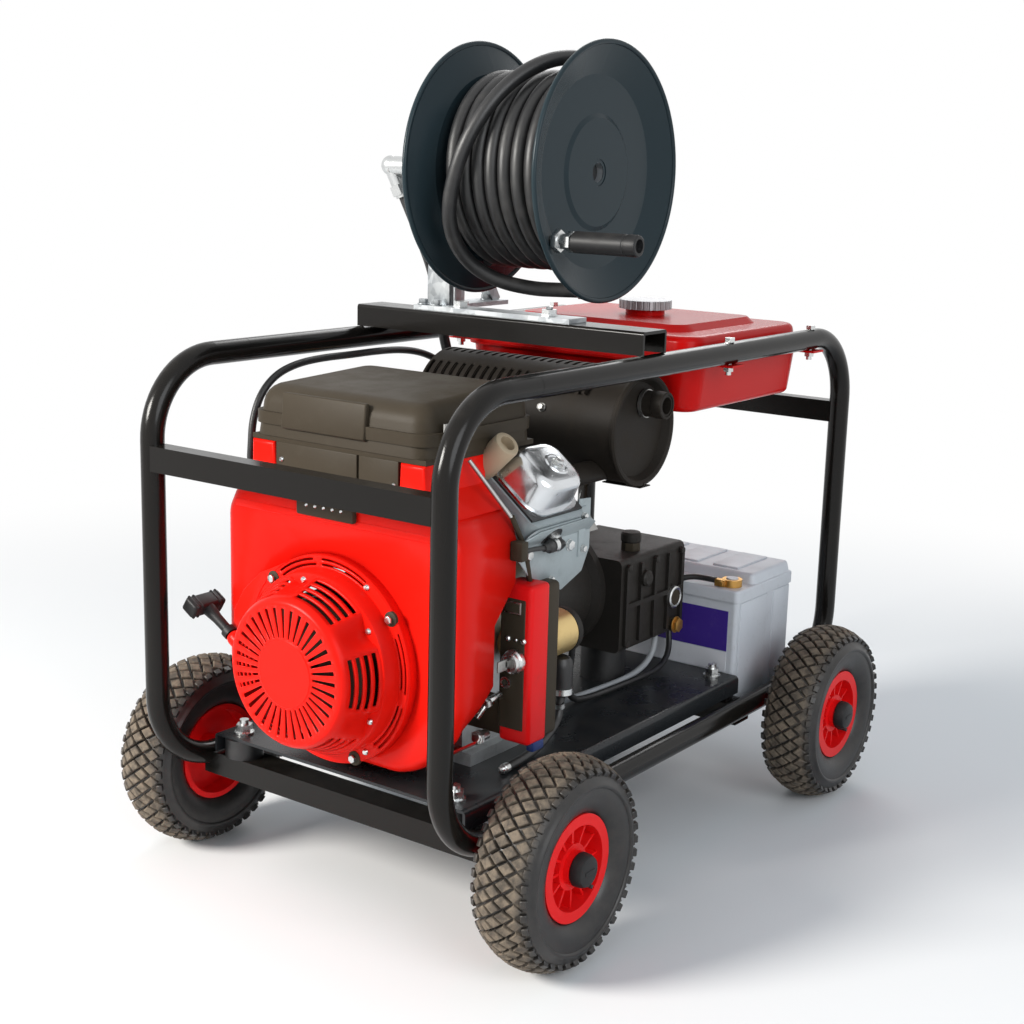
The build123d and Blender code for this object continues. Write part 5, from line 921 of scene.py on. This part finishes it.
LAYER_TURNS = 8
LAYER_FIRST_X = -33.7
LAYER_PITCH = 20.35
LAYER_ENDS = (-43.8, 118.8)
LAYER_R = 99.0
RIDGE_HEIGHT = 9.0
RIDGE_HALF = 10.0
RIDGE_SHARES = (-0.98, -0.75, -0.4, 0, 0.4, 0.75, 0.98)  # places across a ridge, as shares of its half width
DRUM_R = 75.2


def inner_layers():
    """The inner turns, as rounded ridges side by side."""
    ridges = []
    for i in range(LAYER_TURNS):
        middle = LAYER_FIRST_X + i * LAYER_PITCH
        for share in RIDGE_SHARES:
            height = RIDGE_HEIGHT * (1 - share * share) ** 0.5
            ridges.append((middle + share * RIDGE_HALF, LAYER_R + height))
    left, right = LAYER_ENDS
    outline = [(left, DRUM_R)] + ridges + [(right, DRUM_R), (left, DRUM_R)]
    bm = bmesh.new()
    lathe(bm, outline, (0, REEL_Y, REEL_Z), RIGHT, steps=96)
    piece("hose_layers", bm, "black_rubber", node="hose_inner_layers", body="reel", crease=60)


inner_layers()


# Fan shroud

CRANK_Z = 335.0
SHROUD_Y = -410.0
SHROUD_REAR = -296.2
SHROUD_ROUND = 18.0
SHROUD_CORNER = 9.0
SHROUD_WALL = 2.5
SHROUD_MOUTH_R = 113.0
SHROUD_SIDE = [
    (96, 205), (124, 215), (154, 236), (180, 268), (188, 297), (188, 320), (188, 395), (188, 440), (188, 497),
    (173, 526), (146, 538),
]
SHROUD_EAR = [(98, 540), (100, 590.4), (138, 590.4), (139, 556), (170, 529), (140, 526), (98, 526)]
SHROUD_STRAIGHT = (320, 395, 440)  # heights of points on its side that aren't corners
KEY_SIDE = [(190, -388), (278, -388), (297, -362), (320, -336), (395, -336), (440, -296.5), (600, -296.2)]
KEY_SIDE_X = 0.15  # metres: vertices beyond it are on the side with the key
FILLET_STEPS = 6


def between(points, value):
    """Read a line of (place, reading) points at a place."""
    for (low, first), (high, second) in zip(points, points[1:]):
        if value <= high:
            return first + (second - first) * (value - low) / (high - low)
    return points[-1][1]


def shroud_pan(bm):
    """A deep pan with rounded edges, open at the back and under the recoil cover."""
    outline = SHROUD_SIDE + [(-x, z) for x, z in reversed(SHROUD_SIDE)]
    rim = [bm.verts.new(mm(x, SHROUD_REAR, z)) for x, z in outline]
    bm.faces.new(rim)
    corners = [vert for vert, (x, z) in zip(rim, outline) if z not in SHROUD_STRAIGHT]
    bmesh.ops.bevel(
        bm, geom=corners, offset=SHROUD_CORNER * MM, offset_type="OFFSET", affect="VERTICES",
        segments=4, profile=0.5, material=-1, clamp_overlap=True,
    )
    bm.faces.ensure_lookup_table()
    rear = bm.faces[0]
    back = list(rear.verts)
    raised = bmesh.ops.extrude_face_region(bm, geom=[rear])["geom"]
    front = next(thing for thing in raised if isinstance(thing, bmesh.types.BMFace))
    bmesh.ops.translate(bm, vec=mm(0, SHROUD_Y + SHROUD_ROUND - SHROUD_REAR, 0), verts=list(front.verts))
    bmesh.ops.recalc_face_normals(bm, faces=list(bm.faces))
    for vert in back:
        if vert.co.x > KEY_SIDE_X:
            vert.co.y = between(KEY_SIDE, vert.co.z / MM) * MM
    bmesh.ops.delete(bm, geom=[rear], context="FACES_ONLY")
    turns = [pi / 2 * step / FILLET_STEPS for step in range(FILLET_STEPS + 1)]
    for first, second in zip(turns, turns[1:]):
        bmesh.ops.inset_region(
            bm, faces=[front], thickness=SHROUD_ROUND * MM * (cos(first) - cos(second)),
            depth=SHROUD_ROUND * MM * (sin(second) - sin(first)), use_even_offset=True, use_boundary=True,
        )
    edge = list(front.edges)
    bmesh.ops.delete(bm, geom=[front], context="FACES_ONLY")
    mouth = bmesh.ops.create_circle(
        bm, cap_ends=False, segments=96, radius=SHROUD_MOUTH_R * MM,
        matrix=aim((0, SHROUD_Y, CRANK_Z), FRONT),
    )["verts"]
    bmesh.ops.triangle_fill(bm, use_beauty=True, edges=edge + edges_of(mouth), normal=FRONT)
    bmesh.ops.recalc_face_normals(bm, faces=list(bm.faces))


def fan_shroud():
    """The pressed pan, its two ears and the ledge across its front."""
    bm = bmesh.new()
    shroud_pan(bm)
    thicken(piece("shroud_pressed", bm, "red_paint", node="fan_shroud", crease=40), SHROUD_WALL)
    bm = bmesh.new()
    for side in (1, -1):
        ear = [(side * x, z - CRANK_Z) for x, z in SHROUD_EAR]
        slab(bm, ear[::-side], SHROUD_REAR - SHROUD_Y, (0, SHROUD_REAR, CRANK_Z), FRONT, edge=5, segments=4)
    piece("shroud_ears", bm, "red_paint", node="fan_shroud")
    bm = bmesh.new()
    block(bm, (0, SHROUD_Y + 0.6, 506), (334, 3.4, 10), 1.4, segments=3)
    piece("shroud_ledge", bm, "red_paint")


fan_shroud()


# Recoil starter: distances in front of the shroud, radii about the shaft and angles in degrees

SIDE_SECTORS = [(-17, 37), (47, 38), (109, 36), (170, 36), (232, 36), (281, 32)]  # start and width
RING_SECTORS = [(-7, 32), (61, 33), (99, 29), (150, 32), (215, 32), (311, 33)]
SIDE_ROWS = [(40, 45.5), (50, 55.5), (60, 65.5), (70, 75.5)]
RING_ROWS = [(117.0, 120.0), (123.6, 126.6)]
RING_ALONG = 14.0
CONE_START = 36.0
CONE_LENGTH = 51.0
CONE_R = 109.0
CONE_DROP = 19.0
COVER_STEPS = 180
CAP_ALONG = 86.5  # beyond it lies only the flat cap
CAP_SLOTS = (44, 80)  # inner and outer radius
CAP_PITCH = 5  # facets from slot to slot
CAP_OPEN = 2  # facets that a slot is wide
DENTS = (-30, 34, 99, 162)
DENT_HALF = 11.0
DENT_DEPTH = 12.0
DENT_LENGTH = 40.0
DENT_SLACK = 0.1  # takes in the vertices on the cone's first edge
COVER_BOLTS = (35, -68, 135)
COVER_SCREWS = ((36, 104, -30), (36, 104, 34), (36, 104, 99), (14, 121, 58), (14, 121, -58))
COVER_WALL = 3.0


def in_sector(angle, sectors):
    return any((angle - start) % 360 < wide for start, wide in sectors)


def round_starter(along, radius, angle):
    """A place on the recoil cover."""
    turn = radians(angle)
    return (radius * cos(turn), SHROUD_Y - along, CRANK_Z + radius * sin(turn))


def on_starter(place):
    """The distance, radius and angle of a place on the recoil cover."""
    across = Vector((place.x / MM, place.z / MM - CRANK_Z))
    return SHROUD_Y - place.y / MM, across.length, degrees(atan2(across.y, across.x))


def dent_cone(bm):
    """Press the screw pockets into the cover's cone."""
    for vert in bm.verts:
        along, radius, angle = on_starter(vert.co)
        down = along - CONE_START
        for dent in DENTS:
            off = ((angle - dent + 180) % 360 - 180) / DENT_HALF
            if -DENT_SLACK < down < DENT_LENGTH and radius < CONE_R + 1 and abs(off) < 1:
                depth = DENT_DEPTH * (1 - off**2) * (1 - down / DENT_LENGTH)
                vert.co = mm(*round_starter(along, radius - depth, angle))


def is_slot(face):
    """Whether a face of the turned skin lies in one of its slots."""
    along, radius, angle = on_starter(face.calc_center_median())
    facet = int(angle % 360 * COVER_STEPS // 360)
    inner, outer = CAP_SLOTS
    in_cap = along > CAP_ALONG and inner < radius < outer and facet % CAP_PITCH < CAP_OPEN
    in_side = any(low < along < high for low, high in SIDE_ROWS) and in_sector(angle, SIDE_SECTORS)
    in_rows = any(low < radius < high for low, high in RING_ROWS)
    in_ring = abs(along - RING_ALONG) < 0.1 and in_rows and in_sector(angle, RING_SECTORS)
    return in_cap or in_side or in_ring


def recoil_cover():
    """The slotted cover: a turned skin with its slots taken out, then thickened."""
    rows = [CONE_START] + [along for row in SIDE_ROWS for along in row] + [81]
    cone = [(along, CONE_R - CONE_DROP * (along - CONE_START) / CONE_LENGTH) for along in rows]
    ring = [(RING_ALONG, radius) for row in reversed(RING_ROWS) for radius in reversed(row)]
    flange = [(0.2, 131), (12, 130), (RING_ALONG, 128.4)] + ring + [(RING_ALONG, 115), (34, 113), (36, 111.5)]
    cap = [(84.4, 89.4), (86.2, 87.4), (87, 84.6), (87, 80), (87, 44), (87, 42), (88, 40.6), (88, 0)]
    bm = bmesh.new()
    lathe(bm, flange + cone + cap, (0, SHROUD_Y, CRANK_Z), FRONT, COVER_STEPS)
    dent_cone(bm)
    bmesh.ops.delete(bm, geom=[face for face in bm.faces if is_slot(face)], context="FACES")
    thicken(piece("recoil_cover_slotted", bm, "red_paint", node="recoil_cover"), COVER_WALL)
    guide = [(0, 4.4), (0, 10), (46, 10), (50, 9), (52, 7), (52, 4.4), (0, 4.4)]
    foot = [(129.5 * cos(radians(angle)), 129.5 * sin(radians(angle))) for angle in range(118, 199, 8)]
    outer = [(-158, -13), (-161, 11), (-157, 35), (-141, 63), (-112, 90)]
    bm = bmesh.new()
    lathe(bm, guide, (-104, -438, 313.2), ROPE_WAY, steps=32)
    slab(bm, foot + outer, 13.8, (0, SHROUD_Y - 0.2, CRANK_Z), FRONT, edge=3, segments=3)
    piece("rope_guide", bm, "red_paint", node="recoil_cover")
    bm = bmesh.new()
    for place in COVER_SCREWS:
        screw(bm, round_starter(*place), FRONT, 4.2)
    for angle in COVER_BOLTS:
        bolt(bm, round_starter(14.2, 124, angle), FRONT, 9, 5, 5.5)
    piece("starter_screws", bm, "bright_steel")
    bm = bmesh.new()
    for angle in COVER_BOLTS:
        lathe(bm, [(0, 0), (0, 9.5), (3, 9), (4, 6), (4, 0)], round_starter(12, 124, angle), FRONT, steps=28)
    piece("starter_bushes", bm, "black_plastic")


recoil_cover()


def recoil_handle():
    """The T-handle: a ribbed bar, a tapered neck and a collar at the rope's guide."""
    neck = [(1, 3.2), (1, 9.5), (9, 9.5), (11, 6.4), (30, 6.8), (50, 9.4), (52, 3.2), (1, 3.2)]
    bar = ROPE_MOUTH + ROPE_WAY * HANDLE_REACH
    turn = standing(ROPE_WAY)
    bm = bmesh.new()
    lathe(bm, neck, ROPE_MOUTH, ROPE_WAY, steps=32)
    block(bm, bar, (54, 20, 22), 4, turn, segments=4)
    for y in (-22, -15, 15, 22):
        block(bm, bar + Vector((0, y, 0)), (3.4, 21.2, 23.2), 1.5, turn)
    piece("pull_handle", bm, "black_plastic", node="recoil_handle", finish=grip_black, body="recoil_handle")


recoil_handle()


# Engine

AIR_Y = -302.5
AIR_Z = 632.0
AIR_BRIM = 655.0  # above it lie only the edges of the cover's top


def air_cleaner():
    """The moulded cover with its belt and raised panel, and the split panel between the shroud's ears."""
    bm = bmesh.new()
    cover = cuboid(bm, (0, AIR_Y, AIR_Z), (280, 215, 70))
    for vert in cover:
        in_front = vert.co.y < AIR_Y * MM
        if vert.co.z > AIR_Z * MM:
            vert.co += mm(-6 if vert.co.x > 0 else 6, 7 if in_front else -4, -9 if in_front else 0)
    round_edges(bm, edges_along(cover, UP, 30), 26, segments=5)
    over = [line for line in bm.edges if min(vert.co.z for vert in line.verts) > AIR_BRIM * MM]
    round_edges(bm, over, 22, segments=5)
    belt = cuboid(bm, (0, AIR_Y, 619), (282.4, 217.4, 15))
    round_edges(bm, edges_along(belt, UP, 10), 26, segments=5)
    lean = Matrix.Rotation(radians(-5.5), 4, "X")
    block(bm, (-18, -408.4, 631), (134, 8, 44), 2.5, lean, segments=3)
    piece("air_cover", bm, "black_plastic", node="air_cleaner_cover")
    bm = bmesh.new()
    block(bm, (-32, -407, 556), (131, 4, 70), 1.2)
    block(bm, (67, -407, 556), (61, 4, 70), 1.2)
    block(bm, (84, -410, 545), (9, 3, 26), 2)
    block(bm, (-10, -414, 521), (92, 9, 26), 3)
    piece("front_panel", bm, "black_plastic")
    bm = bmesh.new()
    for place in ((-88, -409, 570), (91, -409, 562)):
        screw(bm, place, FRONT, 3.4)
    for x in (-38, -24, -10, 4, 18):
        screw(bm, (x, -418.5, 521.5), FRONT, 2.2)
    piece("panel_screws", bm, "bright_steel")


air_cleaner()

GROMMET_UP = 236.0  # heights up a cylinder, from the shaft
GASKET_UP = 263.4
FLANGE_UP = 266.6
COVER_UP = 285.0
SEAT_UP = 306.0
COVER_HEIGHT = 42.0
COVER_DRAW = 0.14  # how far its top draws in, as a share
COVER_REACH = 80.0  # takes in all of one cover, from its middle
COVER_BRIM = 19.0  # above it lie only the vertices of the top
BAFFLE_FOLD = [(-80, 230), (-64, 246), (-40, 256), (62, 258), (86, 246), (86, 230)]
BAFFLE_COWL = [(-80, 146), (-45, 108), (25, 78), (70, 94), (86, 122), (86, 186), (60, 188), (60, 146)]
BAFFLE_STRIP = [(58, 114), (58, 178), (73, 178), (73, 114)]
BAFFLE_WALL = 1.6
BAFFLE_OUT = 59.0  # from a cylinder's axis to its folded sheet
BAFFLE_X = 189.4
STRIP_WALL = 4.0
STRIP_BOLTS = ((66, 165, 9), (66, 124, 8))  # along the shaft, above it, and size across
COWL_BOLTS = ((39, 133, 12), (-49, 136, 11), (0, 96, 8))


def valve_cover(bm, base, up, turn):
    """One pressed cover with its flange, on a cylinder that leans along a direction."""
    middle = base + up * COVER_UP
    cap = cuboid(bm, middle, (96, 84, COVER_HEIGHT), turn)
    centre = mm(*middle)
    top = centre + up * COVER_HEIGHT / 2 * MM
    for vert in cap:
        if (vert.co - centre).dot(up) > 0:
            vert.co += (top - vert.co) * COVER_DRAW
    round_edges(bm, edges_along(cap, up, 20), 24, segments=5)
    upper = []
    for vert in bm.verts:
        off = vert.co - centre
        if off.length < COVER_REACH * MM and off.dot(up) > COVER_BRIM * MM:
            upper.append(vert)
    round_edges(bm, edges_between(upper), 10, segments=4)
    flange = cuboid(bm, base + up * FLANGE_UP, (104, 92, 4.5), turn)
    round_edges(bm, edges_along(flange, up, 4), 26, segments=5)


def baffle(sheets, bolts, side, y, out):
    """The folded sheet over a cylinder's head and the cowl plate on its side, with their bolts."""
    wall = Vector((side * BAFFLE_X, y, CRANK_Z))
    sideways = Vector((side, 0, 0))

    def plate(outline, thick, place, way, edge):
        slab(sheets, [(side * u, v) for u, v in outline][::side], thick, place, way, edge)

    plate(BAFFLE_FOLD, BAFFLE_WALL, Vector((0, y, CRANK_Z)) + out * BAFFLE_OUT, out, 0.6)
    plate(BAFFLE_COWL, BAFFLE_WALL, wall, sideways, 0.6)
    plate(BAFFLE_STRIP, STRIP_WALL, wall, sideways, 1.5)
    for under, places in ((STRIP_WALL, STRIP_BOLTS), (BAFFLE_WALL, COWL_BOLTS)):
        for u, v, size in places:
            bolt(bolts, wall + Vector((side * under, u, v)), sideways, size, 4, size * 0.62)


def heads():
    """Pressed valve covers on dark gaskets, and the sheet baffles with their bolts."""
    covers, gaskets, sheets, bolts = (bmesh.new() for _ in range(4))
    for side, y in BANKS:
        up, out = bank_axes(side)
        base = Vector((0, y, CRANK_Z))
        turn = standing(up)
        block(gaskets, base + up * GASKET_UP, (106, 94, 3), 0, turn)
        valve_cover(covers, base, up, turn)
        seat = base + up * SEAT_UP + out * 2 + BACK * 8
        lathe(covers, [(0, 17), (1.6, 15.5), (1.6, 13.5), (0.2, 12), (0.2, 0)], seat, up, steps=36)
        bolt(bolts, seat + up * 0.2, up, 11, 6, 8)
        baffle(sheets, bolts, side, y, out)
        grommet = base + out * BAFFLE_OUT + up * GROMMET_UP + FRONT * 4
        lathe(gaskets, [(0, 0), (0, 19), (2.2, 18), (2.2, 0)], grommet, out, steps=36)
    piece("polished_covers", covers, "cast_aluminium", node="valve_covers", finish=polished)
    piece("cover_gaskets", gaskets, "black_rubber")
    piece("baffle_sheets", sheets, "cast_aluminium", finish=sheet_alloy)
    piece("head_bolts", bolts, "bright_steel")


heads()


def control_box():
    """The red frame on the right of its dark face, the black rear half, the lock, bolts, plug and key."""
    face_y = -293
    middle_z = 336
    plate = (183, 408)
    lock = (189.5, 342)
    bezel = [(0, 7.3), (0, 15), (6, 15), (8, 13), (12, 13), (13.5, 11), (13.5, 7.3), (0, 7.3)]
    bm = bmesh.new()
    block(bm, (187, -272, middle_z), (46, 40, 202), 6, segments=4)
    piece("box_bezel", bm, "red_plastic", node="control_box")
    bm = bmesh.new()
    block(bm, (186.5, -246, middle_z), (45, 36, 197), 7, segments=4)
    block(bm, (183, -290.5, middle_z), (37, 5, 166), 2, segments=3)
    block(bm, (139, -284, 265), (54, 4, 50), 0.6)
    block(bm, (plate[0], -294.4, plate[1]), (22, 2, 12), 0.6)
    piece("box_back", bm, "black_plastic")
    bm = bmesh.new()
    block(bm, (plate[0], -293.6, plate[1]), (25, 2, 15), 0.6)
    lathe(bm, bezel, (lock[0], face_y - 1, lock[1]), FRONT, steps=40)
    for x, size in ((177, 4), (189, 2.4), (200, 4)):
        screw(bm, (x, face_y, 368), FRONT, size)
    collar(bm, 0, 3, 4.4, 7.4, (176, face_y, 312), FRONT, steps=28)
    rod(bm, (170, -296, 296), (166, -322, 290), 4.5, edge=0.8)
    bolt(bm, (166.6, -316, 291), (-0.15, -1, -0.2), 13, 8)
    rod(bm, (166, -318, 290), (160, -330, 272), 3.6, edge=0.6)
    rod(bm, (150, -296, 240), (150, -318, 240), 6.5, edge=1)
    bolt(bm, (150, -310, 240), FRONT, 17, 6)
    piece("box_lock", bm, "bright_steel")
    bm = bmesh.new()
    block(bm, (204, -268, 231), (11, 24, 13), 2.5)
    piece("box_plug", bm, "black_plastic", finish=plug_blue)
    bm = bmesh.new()
    lathe(bm, [(0, 0), (0, 7), (24, 7), (24, 0)], (lock[0], -284, lock[1]), FRONT, steps=36)
    block(bm, (lock[0], -321, lock[1]), (2.4, 19, 14), 1)
    block(bm, (lock[0], -311, lock[1]), (2.4, 10, 8), 0.6)
    piece("key", bm, "steel", node="ignition_key", body="ignition_key")


control_box()


def engine_side():
    """The pale breather tube, the throttle wire and its sleeve, brackets, lead clamps and boot bands."""
    tube = [(0, 0), (0, 16), (2, 17), (52, 17), (55, 16), (56, 14), (56, 10), (44, 9.5), (44, 0)]
    bend = (192, -284, 480)
    bm = bmesh.new()
    lathe(bm, tube, (122, -282, 568), (0.74, -0.06, 0.67), steps=40)
    piece("breather_tube", bm, "black_rubber", finish=tube_beige)
    bm = bmesh.new()
    rod(bm, (148, -340, 590), (188, -306, 520), 2.6)
    for side in (1, -1):
        block(bm, (side * 168, -138, 508), (26, 34, 2), 0.4, standing((side, 0.6, -0.2)))
        block(bm, (side * 176, -128, 486), (30, 26, 2), 0.4, Matrix.Rotation(radians(side * 52), 4, "Y"))
    piece("engine_brackets", bm, "steel")
    bm = bmesh.new()
    rod(bm, (188, -307, 523), bend, 3.4)
    rod(bm, bend, (189, -268, 436), 3.4)
    for side in (1, -1):
        block(bm, (side * 197.2, -303, 482), (18, 14, 24), 2)
    piece("wire_sleeve", bm, "black_plastic")
    bm = bmesh.new()
    for side, y in BANKS:
        seat, out, elbow = plug_places(side, y)
        collar(bm, 4, 12, 8.2, 9.2, seat, out, steps=32)
        lathe(bm, [(6, 8), (6, 8.9), (13, 8.7), (13, 7.8), (6, 8)], elbow, FRONT, steps=32)
    piece("boot_bands", bm, "bright_steel")


engine_side()

MUFFLER = Vector((0, 0, 588))
OUTLET = Vector((167, 14, 622))
HOLED_STRIP = Vector((150, 6, 512))
HOLED_SIZE = (60, 26)
HOLED_CELLS = (15, 7)


def mesh_strip(bm):
    """The strip of holed sheet under the muffler, with its folded edge."""
    columns, rows = HOLED_CELLS
    wide, deep = HOLED_SIZE
    place = Matrix.Translation(mm(*HOLED_STRIP)) @ Matrix.Diagonal((wide * MM, deep * MM, 1, 1))
    grid = bmesh.ops.create_grid(bm, x_segments=columns, y_segments=rows, size=0.5, matrix=place)["verts"]
    holes, sheet = [], []
    for face in faces_of(grid):
        middle = face.calc_center_median() / MM - HOLED_STRIP
        column = int(columns * (middle.x / wide + 0.5))
        row = int(rows * (middle.y / deep + 0.5))
        (holes if column % 2 and row % 2 else sheet).append(face)
    bmesh.ops.delete(bm, geom=holes, context="FACES")
    bmesh.ops.solidify(bm, geom=sheet, thickness=1.5 * MM)
    block(bm, HOLED_STRIP + Vector((0, -2, 2)), (wide, 3, 6), 0.5)


def muffler_trim():
    """The rolled end rims, the lipped outlet, its bright ring, the bolts and the mesh strip below."""
    right_rim = [(170, 72.8), (172, 75.4), (176, 76.2), (179, 74.6), (179.4, 71), (177, 67.8), (170, 72.8)]
    left_rim = [(-155, 70), (-157, 73.5), (-153, 75.5), (-148, 72.8), (-155, 70)]
    stub = [
        (0, 13.6), (0, 17.8), (20, 17.2), (22, 18.6), (36, 18.2), (37, 17), (37, 14.6), (12, 13.6),
        (0, 13.6),
    ]
    bm = bmesh.new()
    lathe(bm, right_rim, MUFFLER, RIGHT, steps=96)
    lathe(bm, left_rim, MUFFLER, RIGHT, steps=96)
    lathe(bm, stub, OUTLET, RIGHT, steps=48)
    mesh_strip(bm)
    piece("muffler_rims", bm, "black_heat_paint")
    bm = bmesh.new()
    collar(bm, 0, 5, 17.9, 19.2, OUTLET + RIGHT * 2, RIGHT, steps=48)
    for angle in (200, 225):
        way = Vector((0, cos(radians(angle)), -sin(radians(angle))))
        bolt(bm, MUFFLER + RIGHT * 60 + way * 73, way, 9, 5, 6)
    piece("muffler_bolts", bm, "steel")


muffler_trim()


# Pump and battery

PUMP_TOP = 386.0
PUMP_SIDE = 115.0
BELL_Y = -97.8
BELL_BOLT_R = 89.0


def pump_trim():
    """Case bolts, the filler cap, the bright ring of the sight glass and the brass plug."""
    cap = [(12, 0), (12, 13.6), (14, 15), (24, 15), (27, 13), (28, 0)]
    glass_ring = [(0, 13.3), (0, 16.4), (4, 16.4), (5.4, 14.4), (4.6, 12), (0, 13.3)]
    bm = bmesh.new()
    for y in (84, 122, 160, 198):
        screw(bm, (-34, y, PUMP_TOP), UP, 7)
    for y, z in ((76, 262), (76, 374), (222, 374), (150, 374), (150, 262)):
        bolt(bm, (PUMP_SIDE, y, z), RIGHT, 10, 6)
    lathe(bm, cap, (85, 130, PUMP_TOP), UP, steps=14)
    lathe(bm, [(0, 0), (0, 12), (8, 12), (11, 9), (11, 0)], (PUMP_SIDE + 1, 118, 352), RIGHT, steps=28)
    for angle in range(0, 360, 45):
        turn = radians(angle)
        bolt(bm, (BELL_BOLT_R * cos(turn), BELL_Y, CRANK_Z + BELL_BOLT_R * sin(turn)), BACK, 10, 6)
    piece("pump_bolts", bm, "black_cast")
    bm = bmesh.new()
    lathe(bm, glass_ring, (120.2, 198, 308), RIGHT, steps=40)
    piece("sight_ring", bm, "bright_steel")
    bm = bmesh.new()
    bolt(bm, (122.2, 205, 264), RIGHT, 19, 6, 12.5)
    piece("pump_plug", bm, "brass")


pump_trim()


def battery_trim():
    """Bare coloured panels on the front, the groove in the side and the ribs of the lid."""
    for name, finish, z, height in (
        ("battery_panel", panel_violet, 254, 62), ("battery_strip", panel_white, 206, 30),
    ):
        bm = bmesh.new()
        block(bm, (78, 253.2, z), (212, 0.8, height), 0.2, segments=1)
        piece(name, bm, "grey_plastic", finish=finish)
    bm = bmesh.new()
    for x in (2, 72, 142):
        block(bm, (x, 362, 335), (44, 96, 4), 1.8, segments=3)
    for y, width in ((306, 84), (394, 52)):
        block(bm, (198, y, 222), (2.4, width, 150), 1)
    piece("battery_ribs", bm, "grey_plastic")


battery_trim()


# Reel and wheel trim

CRANK_PIN = Vector((0, -155.6, 838.2))
STAND_FOOT = 736.6


def reel_trim():
    """The crank's pin and hollow grip, the dark plug in the hub, and the stand's angle and bolts."""
    hub = Vector((0, REEL_Y, REEL_Z))
    stud = [(121, 0), (121, 6), (131.6, 6), (131.6, 9.5), (161.6, 9.5), (161.6, 6), (246, 6), (246, 0)]
    grip = [
        (162.2, 6.4), (162.2, 12.2), (164, 13.4), (236, 13.4), (237, 12.6), (239, 12.6), (240, 13.5),
        (250, 13.5), (254, 12.8), (255, 11.2), (255, 8.4), (247, 8), (247, 6.4), (162.2, 6.4),
    ]
    bm = bmesh.new()
    lathe(bm, stud, CRANK_PIN, RIGHT, steps=32)
    for start, end, radius in ((134, 142, 14.5), (152, 160.5, 13)):
        rod(bm, CRANK_PIN + RIGHT * start, CRANK_PIN + RIGHT * end, radius, sides=6, edge=0.8)
    piece("crank_stud", bm, "bright_steel", node="crank_pin", body="reel")
    bm = bmesh.new()
    lathe(bm, grip, CRANK_PIN, RIGHT, steps=40)
    piece("crank_handle", bm, "black_plastic", node="crank_grip", finish=grip_black, body="crank_grip")
    bm = bmesh.new()
    collar(bm, 0, 0.9, 12.2, 16.8, hub + RIGHT * 122.2, RIGHT, steps=40)
    piece("hub_ring", bm, "slate_paint")
    bm = bmesh.new()
    lathe(bm, [(0, 0), (0, 11.8), (2, 11.8), (2, 0)], hub + RIGHT * 112, RIGHT, steps=40)
    piece("hub_plug", bm, "black_plastic", finish=grip_black)
    bm = bmesh.new()
    block(bm, (-119, -68, 790), (38, 3, 108), 0.6)
    block(bm, (-95, -58, 790), (3, 14, 108), 0.6)
    for x, y in ((-130, -88), (-108, -88), (-120, 40)):
        bolt(bm, (x, y, STAND_FOOT), UP, 11, 6, 8)
    bolt(bm, (73, -77, STAND_FOOT + 8), UP, 8, 3)
    piece("stand_angle", bm, "galvanised")


reel_trim()


def wheel_trim():
    """Black caps over the axle ends, and a valve stem on each rim."""
    cap = [(30.6, 0), (30.6, 20), (32, 21), (40, 20.4), (45, 18), (46.6, 14), (46.6, 0)]
    caps = bmesh.new()
    for place, (side, y) in WHEELS.items():
        middle = Vector((side * TRACK_HALF, y, TYRE_R))
        way = Vector((side, 0, 0))
        lathe(caps, cap, middle, way, steps=40)
        block(caps, middle + way * cap[-1][0], (2, 20, 5), 0.8)
        stem = bmesh.new()
        foot = middle + way * 8 + Vector((0, 24, -28))
        lip = foot + way * 18 + Vector((0, 2.4, -3))
        rod(stem, foot, lip, 3.8, end_radius=3.0, sides=20, edge=0.5)
        rod(stem, lip, lip + way * 7 + Vector((0, 1, -1.2)), 2.6, sides=16, edge=0.4)
        piece(f"valve_stem_{place}", stem, "black_rubber", body=f"wheel_{place}")
    piece("axle_caps", caps, "black_plastic", finish=grip_black)


wheel_trim()


# Finishes of the solids that show, by their slots apart from these

plain_nodes = {
    "exhaust_pipes": finishes["black_heat_paint"],
    "fuel_cap": cap_grey,
    "cylinders": sheet_alloy,
    "fuel_tank": tank_red_with_painted_shade,
    "engine_tray": tray_black_with_painted_sheen,
}
for row in frame["record"]["subparts"]:
    surface = frame["nodes"][row["node"]].data.materials
    surface.clear()
    surface.append(plain_nodes.get(row["node"], finishes[row["material_slot"]]))
